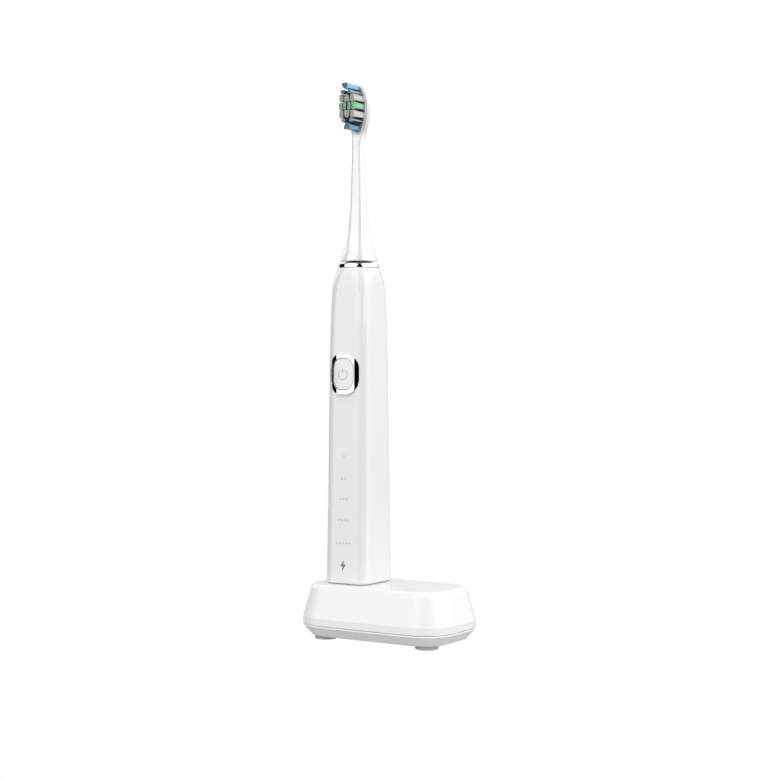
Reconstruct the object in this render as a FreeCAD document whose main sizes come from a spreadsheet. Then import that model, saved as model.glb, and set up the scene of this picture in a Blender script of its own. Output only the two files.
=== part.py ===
import FreeCAD, Part
import Sketcher
import math
import os

# Electric toothbrush standing on its charging base, millimetres, +Z up.
# Origin: centre of the footprint, at the bottom of the rubber feet.
# +X runs along the base's long side away from the brush; the button and the bristles face -Y.

V = FreeCAD.Vector
doc = FreeCAD.newDocument("ToothbrushOnCharger")
sheet = doc.addObject("Spreadsheet::Sheet", "Sizes")

SIZES = [
    # charging base
    ("base_length", 85.2, "overall length of the base"),
    ("base_width", 50.0, "overall width of the base"),
    ("base_corner", 16.5, "plan corner radius"),
    ("shell_bottom", 7.9, "lower edge of the upper shell, above a 0.2 parting gap"),
    ("skirt_top", 11.6, "end of the vertical skirt"),
    ("base_top", 28.0, "top face of the base"),
    ("top_inset", 4.61, "how far the tapered side moves in by the top"),
    ("top_fillet", 3.5, "radius round the top face"),
    ("shell_wall", 2.2, "wall of the upper shell"),
    ("ceiling_z", 26.0, "inner face of the shell's top"),
    ("ceiling_inset", 4.05, "taper of the cavity by its ceiling"),
    ("cover_bottom", 2.0, "underside of the cover"),
    ("cover_chamfer_top", 7.0, "top of the chamfered side"),
    ("cover_top", 7.7, "top of the cover's thin lip"),
    ("cover_lip_inset", 0.3, "lip sits just inside the shell's outline"),
    ("cover_bottom_inset", 4.9, "inset of the underside's outline"),
    ("cover_floor_z", 4.0, "inside floor of the cover"),
    ("cover_floor_inset", 6.9, "inset of the inside floor"),
    ("rim_inset", 2.4, "locating rim outside"),
    ("rim_inner_inset", 3.8, "locating rim inside"),
    ("rim_top", 9.4, "top of the locating rim"),
    ("foot_radius", 5.7, "rubber foot"),
    ("foot_edge", 0.5, "rounding of the foot's lower edge"),
    ("foot_x", 29.5, "front feet and screws, along the base"),
    ("foot_rear_x", 26.0, "rear feet and screws, along the base"),
    ("foot_y", 12.0, "feet and screws, across the base"),
    ("boss_radius", 3.2, "screw boss"),
    ("boss_bottom", 5.2, "lower end of the boss"),
    ("pilot_radius", 1.1, "pilot hole and screw shank"),
    ("pilot_top", 14.0, "end of the pilot hole"),
    ("cover_boss_radius", 4.2, "screw pad on the cover"),
    ("cover_boss_top", 5.0, "top of the screw pad"),
    ("screw_head_radius", 2.3, "screw head"),
    ("screw_clear", 1.35, "clearance hole in the cover"),
    ("axis_x", -17.9, "long axis of the brush on the base"),
    ("post_radius", 4.3, "induction post"),
    ("post_top", 37.0, "top of the post"),
    ("post_edge", 1.0, "rounding of the post's top"),
    ("core_radius", 2.4, "ferrite rod"),
    ("core_hole", 2.6, "hole in the post for the rod"),
    ("core_bottom", 12.5, "lower end of the rod"),
    ("core_top", 35.6, "upper end of the rod"),
    ("coil_outer", 8.2, "primary coil outside radius"),
    ("coil_inner", 3.6, "primary coil inside radius"),
    ("coil_bottom", 17.2, "primary coil lower end"),
    ("coil_top", 24.8, "primary coil upper end"),
    ("board_half_x", 25.0, "base circuit board"),
    ("board_front", -16.0, "base circuit board front edge"),
    ("board_depth", 36.0, "base circuit board depth"),
    ("board_z", 9.2, "underside of the base circuit board"),
    ("board_thick", 1.2, "base circuit board"),
    ("inlet_width", 8.9, "receptacle shell width"),
    ("inlet_height", 3.2, "receptacle shell height"),
    ("inlet_depth", 7.4, "receptacle shell depth"),
    ("inlet_back", 24.2, "mouth of the receptacle"),
    ("inlet_gap", 0.25, "gap round the receptacle in the shell"),
    # handle
    ("handle_wall", 1.8, "wall of the handle housing"),
    ("handle_top", 185.4, "top face of the housing, under the ring"),
    ("handle_ceiling", 183.0, "inside of the housing's top"),
    ("seal_radius", 7.0, "black seal in the housing's top"),
    ("seal_hole", 7.05, "hole for the seal"),
    ("seal_top", 188.2, "top of the seal"),
    ("ring_radius", 10.35, "chrome ring outside radius"),
    ("ring_top_radius", 10.1, "chrome ring at its top"),
    ("ring_top", 187.5, "top of the chrome ring"),
    ("ring_bore", 7.3, "inside of the chrome ring"),
    ("button_z", 132.3, "height of the button's centre"),
    ("bezel_seat_y", -12.1, "plane that the bezel sits on"),
    ("bezel_crest_y", -14.5, "front of the bezel at its middle"),
    ("bezel_curve_x", 8.4, "half width of the curve that the bezel's face follows"),
    ("bezel_curve_y", 2.65, "depth of the curve that the bezel's face follows"),
    ("bezel_width", 16.6, "bezel outside width"),
    ("bezel_height", 20.0, "bezel outside height"),
    ("bezel_corner", 7.2, "bezel outside corner"),
    ("bezel_bore_width", 11.4, "opening in the bezel"),
    ("bezel_bore_height", 15.6, "opening in the bezel"),
    ("bezel_bore_corner", 4.8, "opening in the bezel"),
    ("button_clear", 0.25, "gap round the button"),
    ("button_face_y", -14.4, "front of the button at its middle"),
    ("flange_front", -10.55, "button's retaining flange"),
    ("flange_back", -10.0, "button's retaining flange"),
    ("plunger_tip", -8.75, "tip of the button's plunger"),
    ("plunger_radius", 1.5, "button's plunger"),
    ("switch_tip", -8.2, "front of the switch's stem"),
    ("hboard_front", -6.0, "front face of the control board"),
    ("hboard_thick", 1.2, "control board"),
    ("hboard_bottom", 41.5, "lower end of the control board"),
    ("hboard_top", 141.0, "upper end of the control board"),
    ("hboard_half_x", 8.0, "control board half width"),
    ("cell_radius", 7.0, "battery cell"),
    ("cell_length", 50.0, "battery cell"),
    ("cell_bottom", 60.0, "battery cell lower end"),
    ("cell_y", 2.45, "battery cell axis behind the handle's axis"),
    ("can_radius", 8.5, "motor can"),
    ("can_bottom", 143.5, "motor can lower end"),
    ("can_top", 176.0, "motor can upper end"),
    ("can_wall", 0.6, "motor can"),
    ("can_end", 3.0, "motor can end plates"),
    ("bearing_radius", 4.5, "bearing outside"),
    ("bearing_bore", 1.85, "bearing bore, a running fit on the shaft"),
    ("shaft_radius", 1.8, "drive shaft"),
    ("shaft_bottom", 142.2, "drive shaft lower end"),
    ("shaft_top", 204.0, "drive shaft upper end"),
    ("shaft_flat", 1.3, "distance of the shaft's flat from its axis"),
    ("rotor_radius", 3.8, "rotor core"),
    ("magnet_radius", 5.2, "outside of the magnets"),
    ("rotor_bottom", 150.0, "rotor lower end"),
    ("rotor_length", 19.5, "rotor length"),
    ("stator_inner", 5.6, "stator winding inside"),
    ("stator_outer", 7.85, "stator winding outside"),
    ("endcap_bottom", 28.5, "underside of the end cap"),
    ("endcap_plate_top", 30.7, "top of the end cap's plate"),
    ("endcap_half_x", 10.7, "end cap plate"),
    ("endcap_half_y", 12.4, "end cap plate"),
    ("endcap_corner", 4.1, "end cap plate"),
    ("well_radius", 4.8, "well that takes the post"),
    ("well_top", 38.8, "top of the well"),
    ("well_outer", 5.8, "outside of the well's tube"),
    ("well_tube_top", 40.5, "top of the well's tube"),
    # brush head
    ("head_bottom", 188.5, "lower end of the brush head"),
    ("socket_radius", 3.5, "socket insert"),
    ("socket_bore", 1.85, "socket insert bore"),
    ("socket_top", 205.3, "socket insert upper end"),
    ("plate_half_x", 6.4, "bristle plate half width"),
    ("plate_half_z", 13.6, "bristle plate half length"),
    ("plate_z", 264.5, "bristle plate centre"),
    ("plate_front", -1.7, "bristle plate front face"),
    ("plate_back", 2.5, "bristle plate back face"),
]
# Handle housing: height, half width, half depth, corner radius.
HANDLE = [
    (28.2, 12.6, 14.3, 6.0),
    (60.0, 12.4, 13.75, 6.1),
    (100.0, 12.2, 13.15, 6.2),
    (130.0, 12.05, 12.8, 6.3),
    (155.0, 11.85, 12.3, 6.4),
    (169.0, 11.6, 11.8, 6.6),
    (177.0, 11.35, 11.4, 7.2),
    (180.5, 11.1, 11.1, 8.1),
    (183.3, 10.8, 10.8, 9.3),
    (185.4, 10.4, 10.4, 10.2),
]
# Brush head neck: height, half width, half depth, corner radius, offset of the section's centre along Y.
NECK = [
    (188.5, 9.35, 9.35, 9.2, 0.0),
    (191.0, 8.7, 8.7, 8.2, 0.0),
    (194.0, 7.4, 7.4, 6.5, 0.0),
    (197.0, 6.35, 6.35, 5.2, 0.0),
    (200.0, 5.6, 5.6, 4.2, 0.0),
    (204.0, 4.9, 4.9, 3.5, 0.0),
    (210.0, 4.4, 4.4, 3.0, 0.0),
    (217.0, 3.85, 3.85, 2.6, 0.0),
    (230.0, 3.45, 3.45, 2.3, 0.0),
    (245.0, 3.1, 3.1, 2.1, 0.05),
    (250.0, 3.2, 2.5, 1.9, 0.4),
    (253.2, 3.4, 2.05, 1.6, 0.45),
    (257.0, 3.4, 2.0, 1.5, 0.45),
    (261.0, 3.0, 1.9, 1.2, 0.45),
]
for i, row in enumerate(HANDLE, 1):
    for key, value in zip(("z", "half_x", "half_y", "corner"), row):
        SIZES.append(("handle%d_%s" % (i, key), value, "handle section"))
for i, row in enumerate(NECK, 1):
    for key, value in zip(("z", "half_x", "half_y", "corner", "offset"), row):
        SIZES.append(("neck%d_%s" % (i, key), value, "neck section"))

for i, (alias, value, note) in enumerate(SIZES, 1):
    sheet.set("A%d" % i, note)
    sheet.set("B%d" % i, str(value))
    sheet.setAlias("B%d" % i, alias)
doc.recompute()

NODES = []


def e(text):
    """An expression with #name standing for a cell of the sheet."""
    return text.replace("#", "Sizes.")


def bind(obj, **exprs):
    for prop, text in exprs.items():
        obj.setExpression(prop.replace("__", "."), e(str(text)))
    return obj


def at(obj, x="0", y="0", z="0"):
    for axis, text in (("x", x), ("y", y), ("z", z)):
        obj.setExpression("Placement.Base." + axis, e(str(text)))
    return obj


def box(name, lx, ly, lz, x, y, z):
    """A box given by its size and its lowest corner."""
    o = doc.addObject("Part::Box", name)
    bind(o, Length=lx, Width=ly, Height=lz)
    return at(o, x, y, z)


def cyl(name, radius, height, x, y, z, axis="z"):
    """A cylinder rising from x, y, z along its axis."""
    o = doc.addObject("Part::Cylinder", name)
    bind(o, Radius=radius, Height=height)
    if axis == "y":
        o.Placement = FreeCAD.Placement(V(0, 0, 0), FreeCAD.Rotation(V(1, 0, 0), -90))
    return at(o, x, y, z)


def cone(name, r1, r2, height, x, y, z):
    o = doc.addObject("Part::Cone", name)
    bind(o, Radius1=r1, Radius2=r2, Height=height)
    return at(o, x, y, z)


def fuse(name, parts):
    o = doc.addObject("Part::MultiFuse", name)
    o.Shapes = parts
    return o


def cut(name, base, tools):
    tool = tools[0] if len(tools) == 1 else fuse(name + "_tools", tools)
    o = doc.addObject("Part::Cut", name)
    o.Base = base
    o.Tool = tool
    return o


def group(name, parts):
    o = doc.addObject("Part::Compound", name)
    o.Links = parts
    return o


def node(obj, label):
    obj.Label = label
    NODES.append(obj)
    return obj


def body(name):
    return doc.addObject("PartDesign::Body", name)


def plane(b, role):
    return [f for f in b.Origin.OriginFeatures if f.Role == role][0]


def rect_sketch(b, name, half_x, half_y, corner, z, role="XY_Plane", off="0"):
    """A rounded rectangle centred on the body's axis, at height z, every size bound to the sheet."""
    s = b.newObject("Sketcher::SketchObject", name)
    s.AttachmentSupport = [(plane(b, role), "")]
    s.MapMode = "FlatFace"
    hx, hy, r = 10.0, 8.0, 2.0
    L, C = Part.LineSegment, Part.Circle
    A = Part.ArcOfCircle
    n = V(0, 0, 1)
    geo = [
        L(V(-hx + r, -hy, 0), V(hx - r, -hy, 0)),
        A(C(V(hx - r, -hy + r, 0), n, r), 1.5 * math.pi, 2 * math.pi),
        L(V(hx, -hy + r, 0), V(hx, hy - r, 0)),
        A(C(V(hx - r, hy - r, 0), n, r), 0, 0.5 * math.pi),
        L(V(hx - r, hy, 0), V(-hx + r, hy, 0)),
        A(C(V(-hx + r, hy - r, 0), n, r), 0.5 * math.pi, math.pi),
        L(V(-hx, hy - r, 0), V(-hx, -hy + r, 0)),
        A(C(V(-hx + r, -hy + r, 0), n, r), math.pi, 1.5 * math.pi),
    ]
    s.addGeometry(geo, False)
    K = Sketcher.Constraint
    cs = [K("Horizontal", 4), K("Vertical", 6)]
    cs += [K("Tangent", 0, 2, 1, 1), K("Tangent", 1, 2, 2, 1), K("Tangent", 2, 2, 3, 1), K("Tangent", 3, 2, 4, 1)]
    cs += [K("Tangent", 4, 2, 5, 1), K("Tangent", 5, 2, 6, 1), K("Tangent", 6, 2, 7, 1), K("Tangent", 7, 2, 0, 1)]
    cs += [K("Equal", 1, 3), K("Equal", 3, 5), K("Equal", 5, 7)]
    cs += [K("Symmetric", 0, 1, 0, 2, -2), K("Symmetric", 2, 1, 2, 2, -1)]
    s.addConstraint(cs)
    s.addConstraint(K("Radius", 1, r))
    s.renameConstraint(s.ConstraintCount - 1, "corner")
    s.addConstraint(K("DistanceX", 6, 1, 2, 1, 2 * hx))
    s.renameConstraint(s.ConstraintCount - 1, "wide")
    s.addConstraint(K("DistanceY", 0, 1, 4, 1, 2 * hy))
    s.renameConstraint(s.ConstraintCount - 1, "deep")
    s.setExpression("Constraints.corner", e(corner))
    s.setExpression("Constraints.wide", e("2*(%s)" % half_x))
    s.setExpression("Constraints.deep", e("2*(%s)" % half_y))
    if role == "XY_Plane":
        s.setExpression("AttachmentOffset.Base.z", e(z))
        if off != "0":
            s.setExpression("AttachmentOffset.Base.y", e(off))
    else:
        # on the XZ plane the sketch's normal points along -Y
        s.setExpression("AttachmentOffset.Base.z", e("-(%s)" % z))
        if off != "0":
            s.setExpression("AttachmentOffset.Base.y", e(off))
    return s


def loft(b, name, sketches, subtract=False, ruled=True):
    o = b.newObject("PartDesign::SubtractiveLoft" if subtract else "PartDesign::AdditiveLoft", name)
    o.Profile = sketches[0]
    o.Sections = sketches[1:]
    o.Ruled = ruled
    o.Closed = False
    b.Tip = o
    for s in sketches:
        s.Visibility = False
    return o


def rounded(b, name, half_x, half_y, corner, z0, z1, role="XY_Plane", off="0"):
    """A rounded-rectangle prism in a body, from z0 to z1 (or from y0 to y1 on the XZ plane)."""
    s0 = rect_sketch(b, name + "_a", half_x, half_y, corner, z0, role, off)
    s1 = rect_sketch(b, name + "_b", half_x, half_y, corner, z1, role, off)
    return loft(b, name, [s0, s1])


def prism(name, half_x, half_y, corner, z0, z1, role="XY_Plane", off="0"):
    b = body(name)
    rounded(b, name + "_solid", half_x, half_y, corner, z0, z1, role, off)
    return b


AX = "#axis_x"
corners = [("p", "p"), ("p", "n"), ("n", "p"), ("n", "n")]


def cx(c, d):
    size = "#foot_rear_x" if d == "p" else "#foot_x"
    return size if c == "p" else "-" + size


def cy(c):
    return "#foot_y" if c == "p" else "-#foot_y"


def base_rect(b, name, inset, z):
    return rect_sketch(b, name, "#base_length/2-(%s)" % inset, "#base_width/2-(%s)" % inset, "#base_corner-(%s)" % inset, z)


# ---------------------------------------------------------------- charging base
b = body("ShellOuter")
loft(b, "shell_skirt", [base_rect(b, "sk0", "0", "#shell_bottom"), base_rect(b, "sk1", "0", "#skirt_top")])
taper = loft(b, "shell_taper", [base_rect(b, "sk2", "0", "#skirt_top"), base_rect(b, "sk3", "#top_inset", "#base_top")])
doc.recompute()
top = [
    "Edge%d" % (i + 1)
    for i, edge in enumerate(taper.Shape.Edges)
    if min(v.Z for v in edge.Vertexes) > sheet.base_top - 0.01
]
fil = b.newObject("PartDesign::Fillet", "shell_top_round")
fil.Base = (taper, top)
fil.setExpression("Radius", e("#top_fillet"))
b.Tip = fil
cav = loft(
    b,
    "shell_cavity",
    [
        base_rect(b, "sk4", "#shell_wall", "#shell_bottom-0.5"),
        base_rect(b, "sk5", "#shell_wall", "#skirt_top"),
        base_rect(b, "sk6", "#shell_wall+#ceiling_inset", "#ceiling_z"),
    ],
    subtract=True,
)
post = cyl("post", "#post_radius", "#post_top-#ceiling_z-#post_edge", AX, "0", "#ceiling_z")
post_tip = cone("post_tip", "#post_radius", "#post_radius-#post_edge", "#post_edge", AX, "0", "#post_top-#post_edge")
bosses = [
    cyl("boss_%s%s" % (i, j), "#boss_radius", "#ceiling_z+0.4-#boss_bottom", cx(i, j), cy(j), "#boss_bottom")
    for i, j in corners
]
shell_solid = fuse("shell_solid", [b, post, post_tip] + bosses)
shell_tools = [
    cyl("core_pocket", "#core_hole", "#post_top-1-#ceiling_z+2", AX, "0", "#ceiling_z-2"),
    prism(
        "InletMouth",
        "#inlet_width/2+#inlet_gap",
        "#inlet_height/2+#inlet_gap",
        "#inlet_height/2+#inlet_gap-0.05",
        "#inlet_back-4",
        "#base_width/2+1",
        "XZ_Plane",
        "#board_z+#board_thick+#inlet_height/2",
    ),
] + [
    cyl("pilot_%s%s" % (i, j), "#pilot_radius", "#pilot_top-#boss_bottom+0.2", cx(i, j), cy(j), "#boss_bottom-0.2")
    for i, j in corners
]
node(cut("base_upper_shell", shell_solid, shell_tools), "base_upper_shell")

b = body("CoverOuter")
loft(
    b,
    "cover_chamfer",
    [base_rect(b, "cv0", "#cover_bottom_inset", "#cover_bottom"), base_rect(b, "cv1", "#cover_lip_inset", "#cover_chamfer_top")],
)
loft(
    b,
    "cover_lip",
    [base_rect(b, "cv2", "#cover_lip_inset", "#cover_chamfer_top"), base_rect(b, "cv3", "#cover_lip_inset", "#cover_top")],
)
loft(
    b,
    "cover_rim",
    [base_rect(b, "cv4", "#rim_inset", "#cover_chamfer_top"), base_rect(b, "cv5", "#rim_inset", "#rim_top")],
)
loft(
    b,
    "cover_tray",
    [
        base_rect(b, "cv6", "#cover_floor_inset", "#cover_floor_z"),
        base_rect(b, "cv7", "#rim_inner_inset", "#cover_chamfer_top"),
        base_rect(b, "cv8", "#rim_inner_inset", "#rim_top+0.5"),
    ],
    subtract=True,
)
pads = [
    cyl("cover_pad_%s%s" % (i, j), "#cover_boss_radius", "#cover_boss_top-#cover_floor_z+0.5", cx(i, j), cy(j), "#cover_floor_z-0.5")
    for i, j in corners
]
stands = [
    cyl("board_stand_%d" % k, "2", "#board_z-#cover_floor_z+0.5", x, y, "#cover_floor_z-0.5")
    for k, (x, y) in enumerate((("20", "12"), ("20", "-12"), ("-20", "12"), ("-20", "-12")))
]
cover_holes = [
    cyl("cover_bore_%s%s" % (i, j), "#screw_head_radius+0.2", "1.6+0.2", cx(i, j), cy(j), "#cover_bottom-0.2")
    for i, j in corners
] + [cyl("cover_hole_%s%s" % (i, j), "#screw_clear", "6", cx(i, j), cy(j), "#cover_bottom-0.2") for i, j in corners]
node(cut("base_bottom_cover", fuse("cover_solid", [b] + pads + stands), cover_holes), "base_bottom_cover")

feet = []
for i, j in corners:
    feet.append(
        fuse(
            "foot_%s%s" % (i, j),
            [
                cone("foot_edge_%s%s" % (i, j), "#foot_radius-#foot_edge", "#foot_radius", "#foot_edge", cx(i, j), cy(j), "0"),
                cyl("foot_disc_%s%s" % (i, j), "#foot_radius", "#cover_bottom-#foot_edge", cx(i, j), cy(j), "#foot_edge"),
            ],
        )
    )
node(group("rubber_feet", feet), "rubber_feet")

screws = []
for i, j in corners:
    t = "%s%s" % (i, j)
    screws.append(
        cut(
            "screw_" + t,
            fuse(
                "screw_solid_" + t,
                [
                    cyl("screw_head_" + t, "#screw_head_radius", "1.4", cx(i, j), cy(j), "#cover_bottom+0.2"),
                    cyl("screw_shank_" + t, "#pilot_radius-0.02", "10", cx(i, j), cy(j), "#cover_bottom+1.5"),
                ],
            ),
            [
                box("screw_slot_a" + t, "2.8", "0.6", "1.1", cx(i, j) + "-1.4", cy(j) + "-0.3", "#cover_bottom"),
                box("screw_slot_b" + t, "0.6", "2.8", "1.1", cx(i, j) + "-0.3", cy(j) + "-1.4", "#cover_bottom"),
            ],
        )
    )
node(group("base_screws", screws), "base_screws")

node(cyl("primary_ferrite_core", "#core_radius", "#core_top-#core_bottom", AX, "0", "#core_bottom"), "primary_ferrite_core")
node(
    cut(
        "coil_bobbin",
        fuse(
            "bobbin_solid",
            [
                cyl("bobbin_tube", "#coil_inner", "#coil_top-#coil_bottom+2", AX, "0", "#coil_bottom-1"),
                cyl("bobbin_low", "#coil_outer+0.6", "1", AX, "0", "#coil_bottom-1"),
                cyl("bobbin_high", "#coil_outer+0.6", "1", AX, "0", "#coil_top"),
            ],
        ),
        [cyl("bobbin_bore", "#core_radius+0.02", "20", AX, "0", "#coil_bottom-5")],
    ),
    "coil_bobbin",
)
node(
    cut(
        "primary_coil",
        cyl("coil_solid", "#coil_outer", "#coil_top-#coil_bottom", AX, "0", "#coil_bottom"),
        [cyl("coil_bore", "#coil_inner", "20", AX, "0", "#coil_bottom-2")],
    ),
    "primary_coil",
)
node(
    cut(
        "base_circuit_board",
        box("base_board_blank", "2*#board_half_x", "#board_depth", "#board_thick", "-#board_half_x", "#board_front", "#board_z"),
        [
            cyl("board_notch_left", "#boss_radius+0.6", "4", "-#foot_rear_x", "#foot_y", "#board_z-1"),
            cyl("board_notch_right", "#boss_radius+0.6", "4", "#foot_rear_x", "#foot_y", "#board_z-1"),
        ],
    ),
    "base_circuit_board",
)
BT = "#board_z+#board_thick"
node(
    group(
        "base_board_components",
        [
            cyl("base_capacitor", "3", "8", "14", "-6", BT),
            cyl("base_capacitor_small", "2", "6", "6", "-8", BT),
            box("base_chip", "6", "6", "1.4", "-2", "2", BT),
            box("base_inductor", "6", "6", "3.2", "10", "4", BT),
            box("base_driver", "4", "5", "1.2", "20", "0", BT),
        ],
    ),
    "base_board_components",
)
INZ = "#board_z+#board_thick+#inlet_height/2"
node(
    cut(
        "inlet_receptacle",
        prism("InletShell", "#inlet_width/2", "#inlet_height/2", "#inlet_height/2-0.05", "#inlet_back-#inlet_depth", "#inlet_back", "XZ_Plane", INZ),
        [
            prism(
                "InletCavity",
                "#inlet_width/2-0.35",
                "#inlet_height/2-0.35",
                "#inlet_height/2-0.4",
                "#inlet_back-#inlet_depth+1",
                "#inlet_back+0.5",
                "XZ_Plane",
                INZ,
            )
        ],
    ),
    "inlet_receptacle",
)
node(box("inlet_tongue", "6.6", "#inlet_depth-2", "0.7", "-3.3", "#inlet_back-#inlet_depth+1", INZ + "-0.35"), "inlet_tongue")

# ---------------------------------------------------------------- handle
hb = body("HandleOuter")
outer = []
for i in range(1, len(HANDLE) + 1):
    outer.append(rect_sketch(hb, "ho%d" % i, "#handle%d_half_x" % i, "#handle%d_half_y" % i, "#handle%d_corner" % i, "#handle%d_z" % i))
loft(hb, "handle_outside", outer, ruled=True)
hi = body("HandleInner")
inner = []
for i in (1, 2, 3, 4, 5, 6, 7, 8):
    z = "#handle%d_z" % i if i > 1 else "#handle1_z-1"
    if i == 8:
        z = "#handle_ceiling"
    inset = "#handle_wall" if i < 8 else "#handle_wall+0.35"
    inner.append(
        rect_sketch(
            hi,
            "hi%d" % i,
            "#handle%d_half_x-(%s)" % (i, inset),
            "#handle%d_half_y-(%s)" % (i, inset),
            "#handle%d_corner-(%s)" % (i, inset),
            z,
        )
    )
loft(hi, "handle_inside", inner, ruled=True)
for o in (hb, hi):
    at(o, AX, "0", "0")
mouth = prism("ButtonMouth", "#bezel_bore_width/2+0.25", "#bezel_bore_height/2+0.25", "#bezel_bore_corner+0.2", "-16", "-8", "XZ_Plane", "#button_z")
seat = prism("BezelSeat", "#bezel_width/2+0.05", "#bezel_height/2+0.05", "#bezel_corner+0.05", "-16", "#bezel_seat_y", "XZ_Plane", "#button_z")
for o in (mouth, seat):
    at(o, AX, "0", "0")
node(
    cut("handle_housing", hb, [hi, mouth, seat, cyl("seal_opening", "#seal_hole", "6", AX, "0", "#handle_ceiling-1")]),
    "handle_housing",
)



def common(name, a, b):
    o = doc.addObject("Part::MultiCommon", name)
    o.Shapes = [a, b]
    return o


def curved_front(name, front):
    """An upright elliptical column whose front bulges to the given plane; the bezel and the button follow its curve."""
    ring = doc.addObject("Part::Ellipse", name + "_outline")
    bind(ring, MajorRadius="#bezel_curve_x", MinorRadius="#bezel_curve_y")
    at(ring, AX, "(%s)+#bezel_curve_y" % front, "#button_z-#bezel_height")
    column = doc.addObject("Part::Extrusion", name + "_column")
    column.Base = ring
    column.DirMode = "Custom"
    column.Dir = V(0, 0, 1)
    column.Solid = True
    column.setExpression("LengthFwd", e("2*#bezel_height"))
    return column


bz = prism("BezelOuter", "#bezel_width/2", "#bezel_height/2", "#bezel_corner", "#bezel_crest_y-0.2", "#bezel_seat_y", "XZ_Plane", "#button_z")
at(bz, AX, "0", "0")
bore = prism("BezelBore", "#bezel_bore_width/2", "#bezel_bore_height/2", "#bezel_bore_corner", "-16", "-10", "XZ_Plane", "#button_z")
at(bore, AX, "0", "0")
node(cut("button_bezel", common("bezel_solid", bz, curved_front("bezel_front", "#bezel_crest_y")), [bore]), "button_bezel")

pb = prism(
    "ButtonFace",
    "#bezel_bore_width/2-#button_clear",
    "#bezel_bore_height/2-#button_clear",
    "#bezel_bore_corner-#button_clear",
    "#button_face_y-0.2",
    "#flange_front",
    "XZ_Plane",
    "#button_z",
)
pf = prism("ButtonFlange", "6.5", "8.8", "5.3", "#flange_front", "#flange_back", "XZ_Plane", "#button_z")
for o in (pb, pf):
    at(o, AX, "0", "0")
node(
    fuse(
        "power_button",
        [
            common("button_front", pb, fuse("button_envelope", [curved_front("button_curve", "#button_face_y"), box("button_back", "20", "2.6", "40", AX + "-10", "-12.9", "#button_z-20")])),
            pf,
            cyl("plunger", "#plunger_radius", "#plunger_tip-#flange_back", AX, "#flange_back", "#button_z", "y"),
        ],
    ),
    "power_button",
)
gk = prism("GasketPlate", "8", "10", "5.5", "-9.35", "-8.95", "XZ_Plane", "#button_z")
at(gk, AX, "0", "0")
node(cut("button_gasket", gk, [cyl("gasket_hole", "#plunger_radius+0.4", "3", AX, "-10.5", "#button_z", "y")]), "button_gasket")
node(
    fuse(
        "tactile_switch",
        [
            box("switch_body", "6", "1.6", "6", AX + "-3", "#hboard_front-1.6", "#button_z-3"),
            cyl("switch_stem", "1.4", "#hboard_front-1.6-#switch_tip", AX, "#switch_tip", "#button_z", "y"),
        ],
    ),
    "tactile_switch",
)

node(
    cut(
        "top_trim_ring",
        fuse(
            "ring_solid",
            [
                cyl("ring_low", "#ring_radius", "0.5", AX, "0", "#handle_top"),
                cone("ring_mid", "#ring_radius", "#ring_top_radius", "#ring_top-#handle_top-0.8", AX, "0", "#handle_top+0.5"),
                cone("ring_high", "#ring_top_radius", "#ring_top_radius-0.25", "0.3", AX, "0", "#ring_top-0.3"),
            ],
        ),
        [cyl("ring_bore_cut", "#ring_bore", "6", AX, "0", "#handle_top-1")],
    ),
    "top_trim_ring",
)
node(
    cut(
        "shaft_seal",
        fuse(
            "seal_solid",
            [
                cyl("seal_plug", "#seal_radius", "#seal_top-#handle_ceiling", AX, "0", "#handle_ceiling"),
                cyl("seal_flange", "#seal_radius+1.2", "1.5", AX, "0", "#handle_ceiling-1.5"),
            ],
        ),
        [cyl("seal_bore", "#shaft_radius+0.15", "12", AX, "0", "#handle_ceiling-3")],
    ),
    "shaft_seal",
)

cap_plate = prism("CapPlate", "#endcap_half_x", "#endcap_half_y", "#endcap_corner", "#endcap_bottom", "#endcap_plate_top")
at(cap_plate, AX, "0", "0")
node(
    cut(
        "handle_end_cap",
        fuse("cap_solid", [cap_plate, cyl("cap_tube", "#well_outer", "#well_tube_top-#endcap_bottom", AX, "0", "#endcap_bottom")]),
        [
            cyl("cap_well", "#well_radius", "#well_top-#endcap_bottom+1", AX, "0", "#endcap_bottom-1"),
            cyl("cap_screw_bore_a", "1.7", "1.9", AX + "-6.5", "10", "#endcap_bottom-0.3"),
            cyl("cap_screw_bore_b", "1.7", "1.9", AX + "+6.5", "10", "#endcap_bottom-0.3"),
            cyl("cap_screw_hole_a", "1.05", "6", AX + "-6.5", "10", "#endcap_bottom-0.3"),
            cyl("cap_screw_hole_b", "1.05", "6", AX + "+6.5", "10", "#endcap_bottom-0.3"),
        ],
    ),
    "handle_end_cap",
)
so = prism("SealOuter", "10.72", "12.38", "4.1", "#endcap_plate_top", "#endcap_plate_top+1")
si = prism("SealInner", "9.75", "11.4", "3.2", "#endcap_plate_top-1", "#endcap_plate_top+2")
for o in (so, si):
    at(o, AX, "0", "0")
node(cut("end_cap_seal", so, [si]), "end_cap_seal")
node(
    group(
        "chassis_screws",
        [
            fuse(
                "cap_screw_" + t,
                [
                    cyl("cap_screw_head_" + t, "1.6", "1.2", AX + x, "10", "#endcap_bottom+0.3"),
                    cyl("cap_screw_shank_" + t, "1.0", "20", AX + x, "10", "#endcap_bottom+1.4"),
                ],
            )
            for t, x in (("a", "-6.5"), ("b", "+6.5"))
        ],
    ),
    "chassis_screws",
)
node(
    cut(
        "secondary_coil",
        cyl("second_coil_solid", "9.4", "7.5", AX, "0", "31"),
        [cyl("second_coil_bore", "#well_outer+0.1", "12", AX, "0", "30")],
    ),
    "secondary_coil",
)
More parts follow.
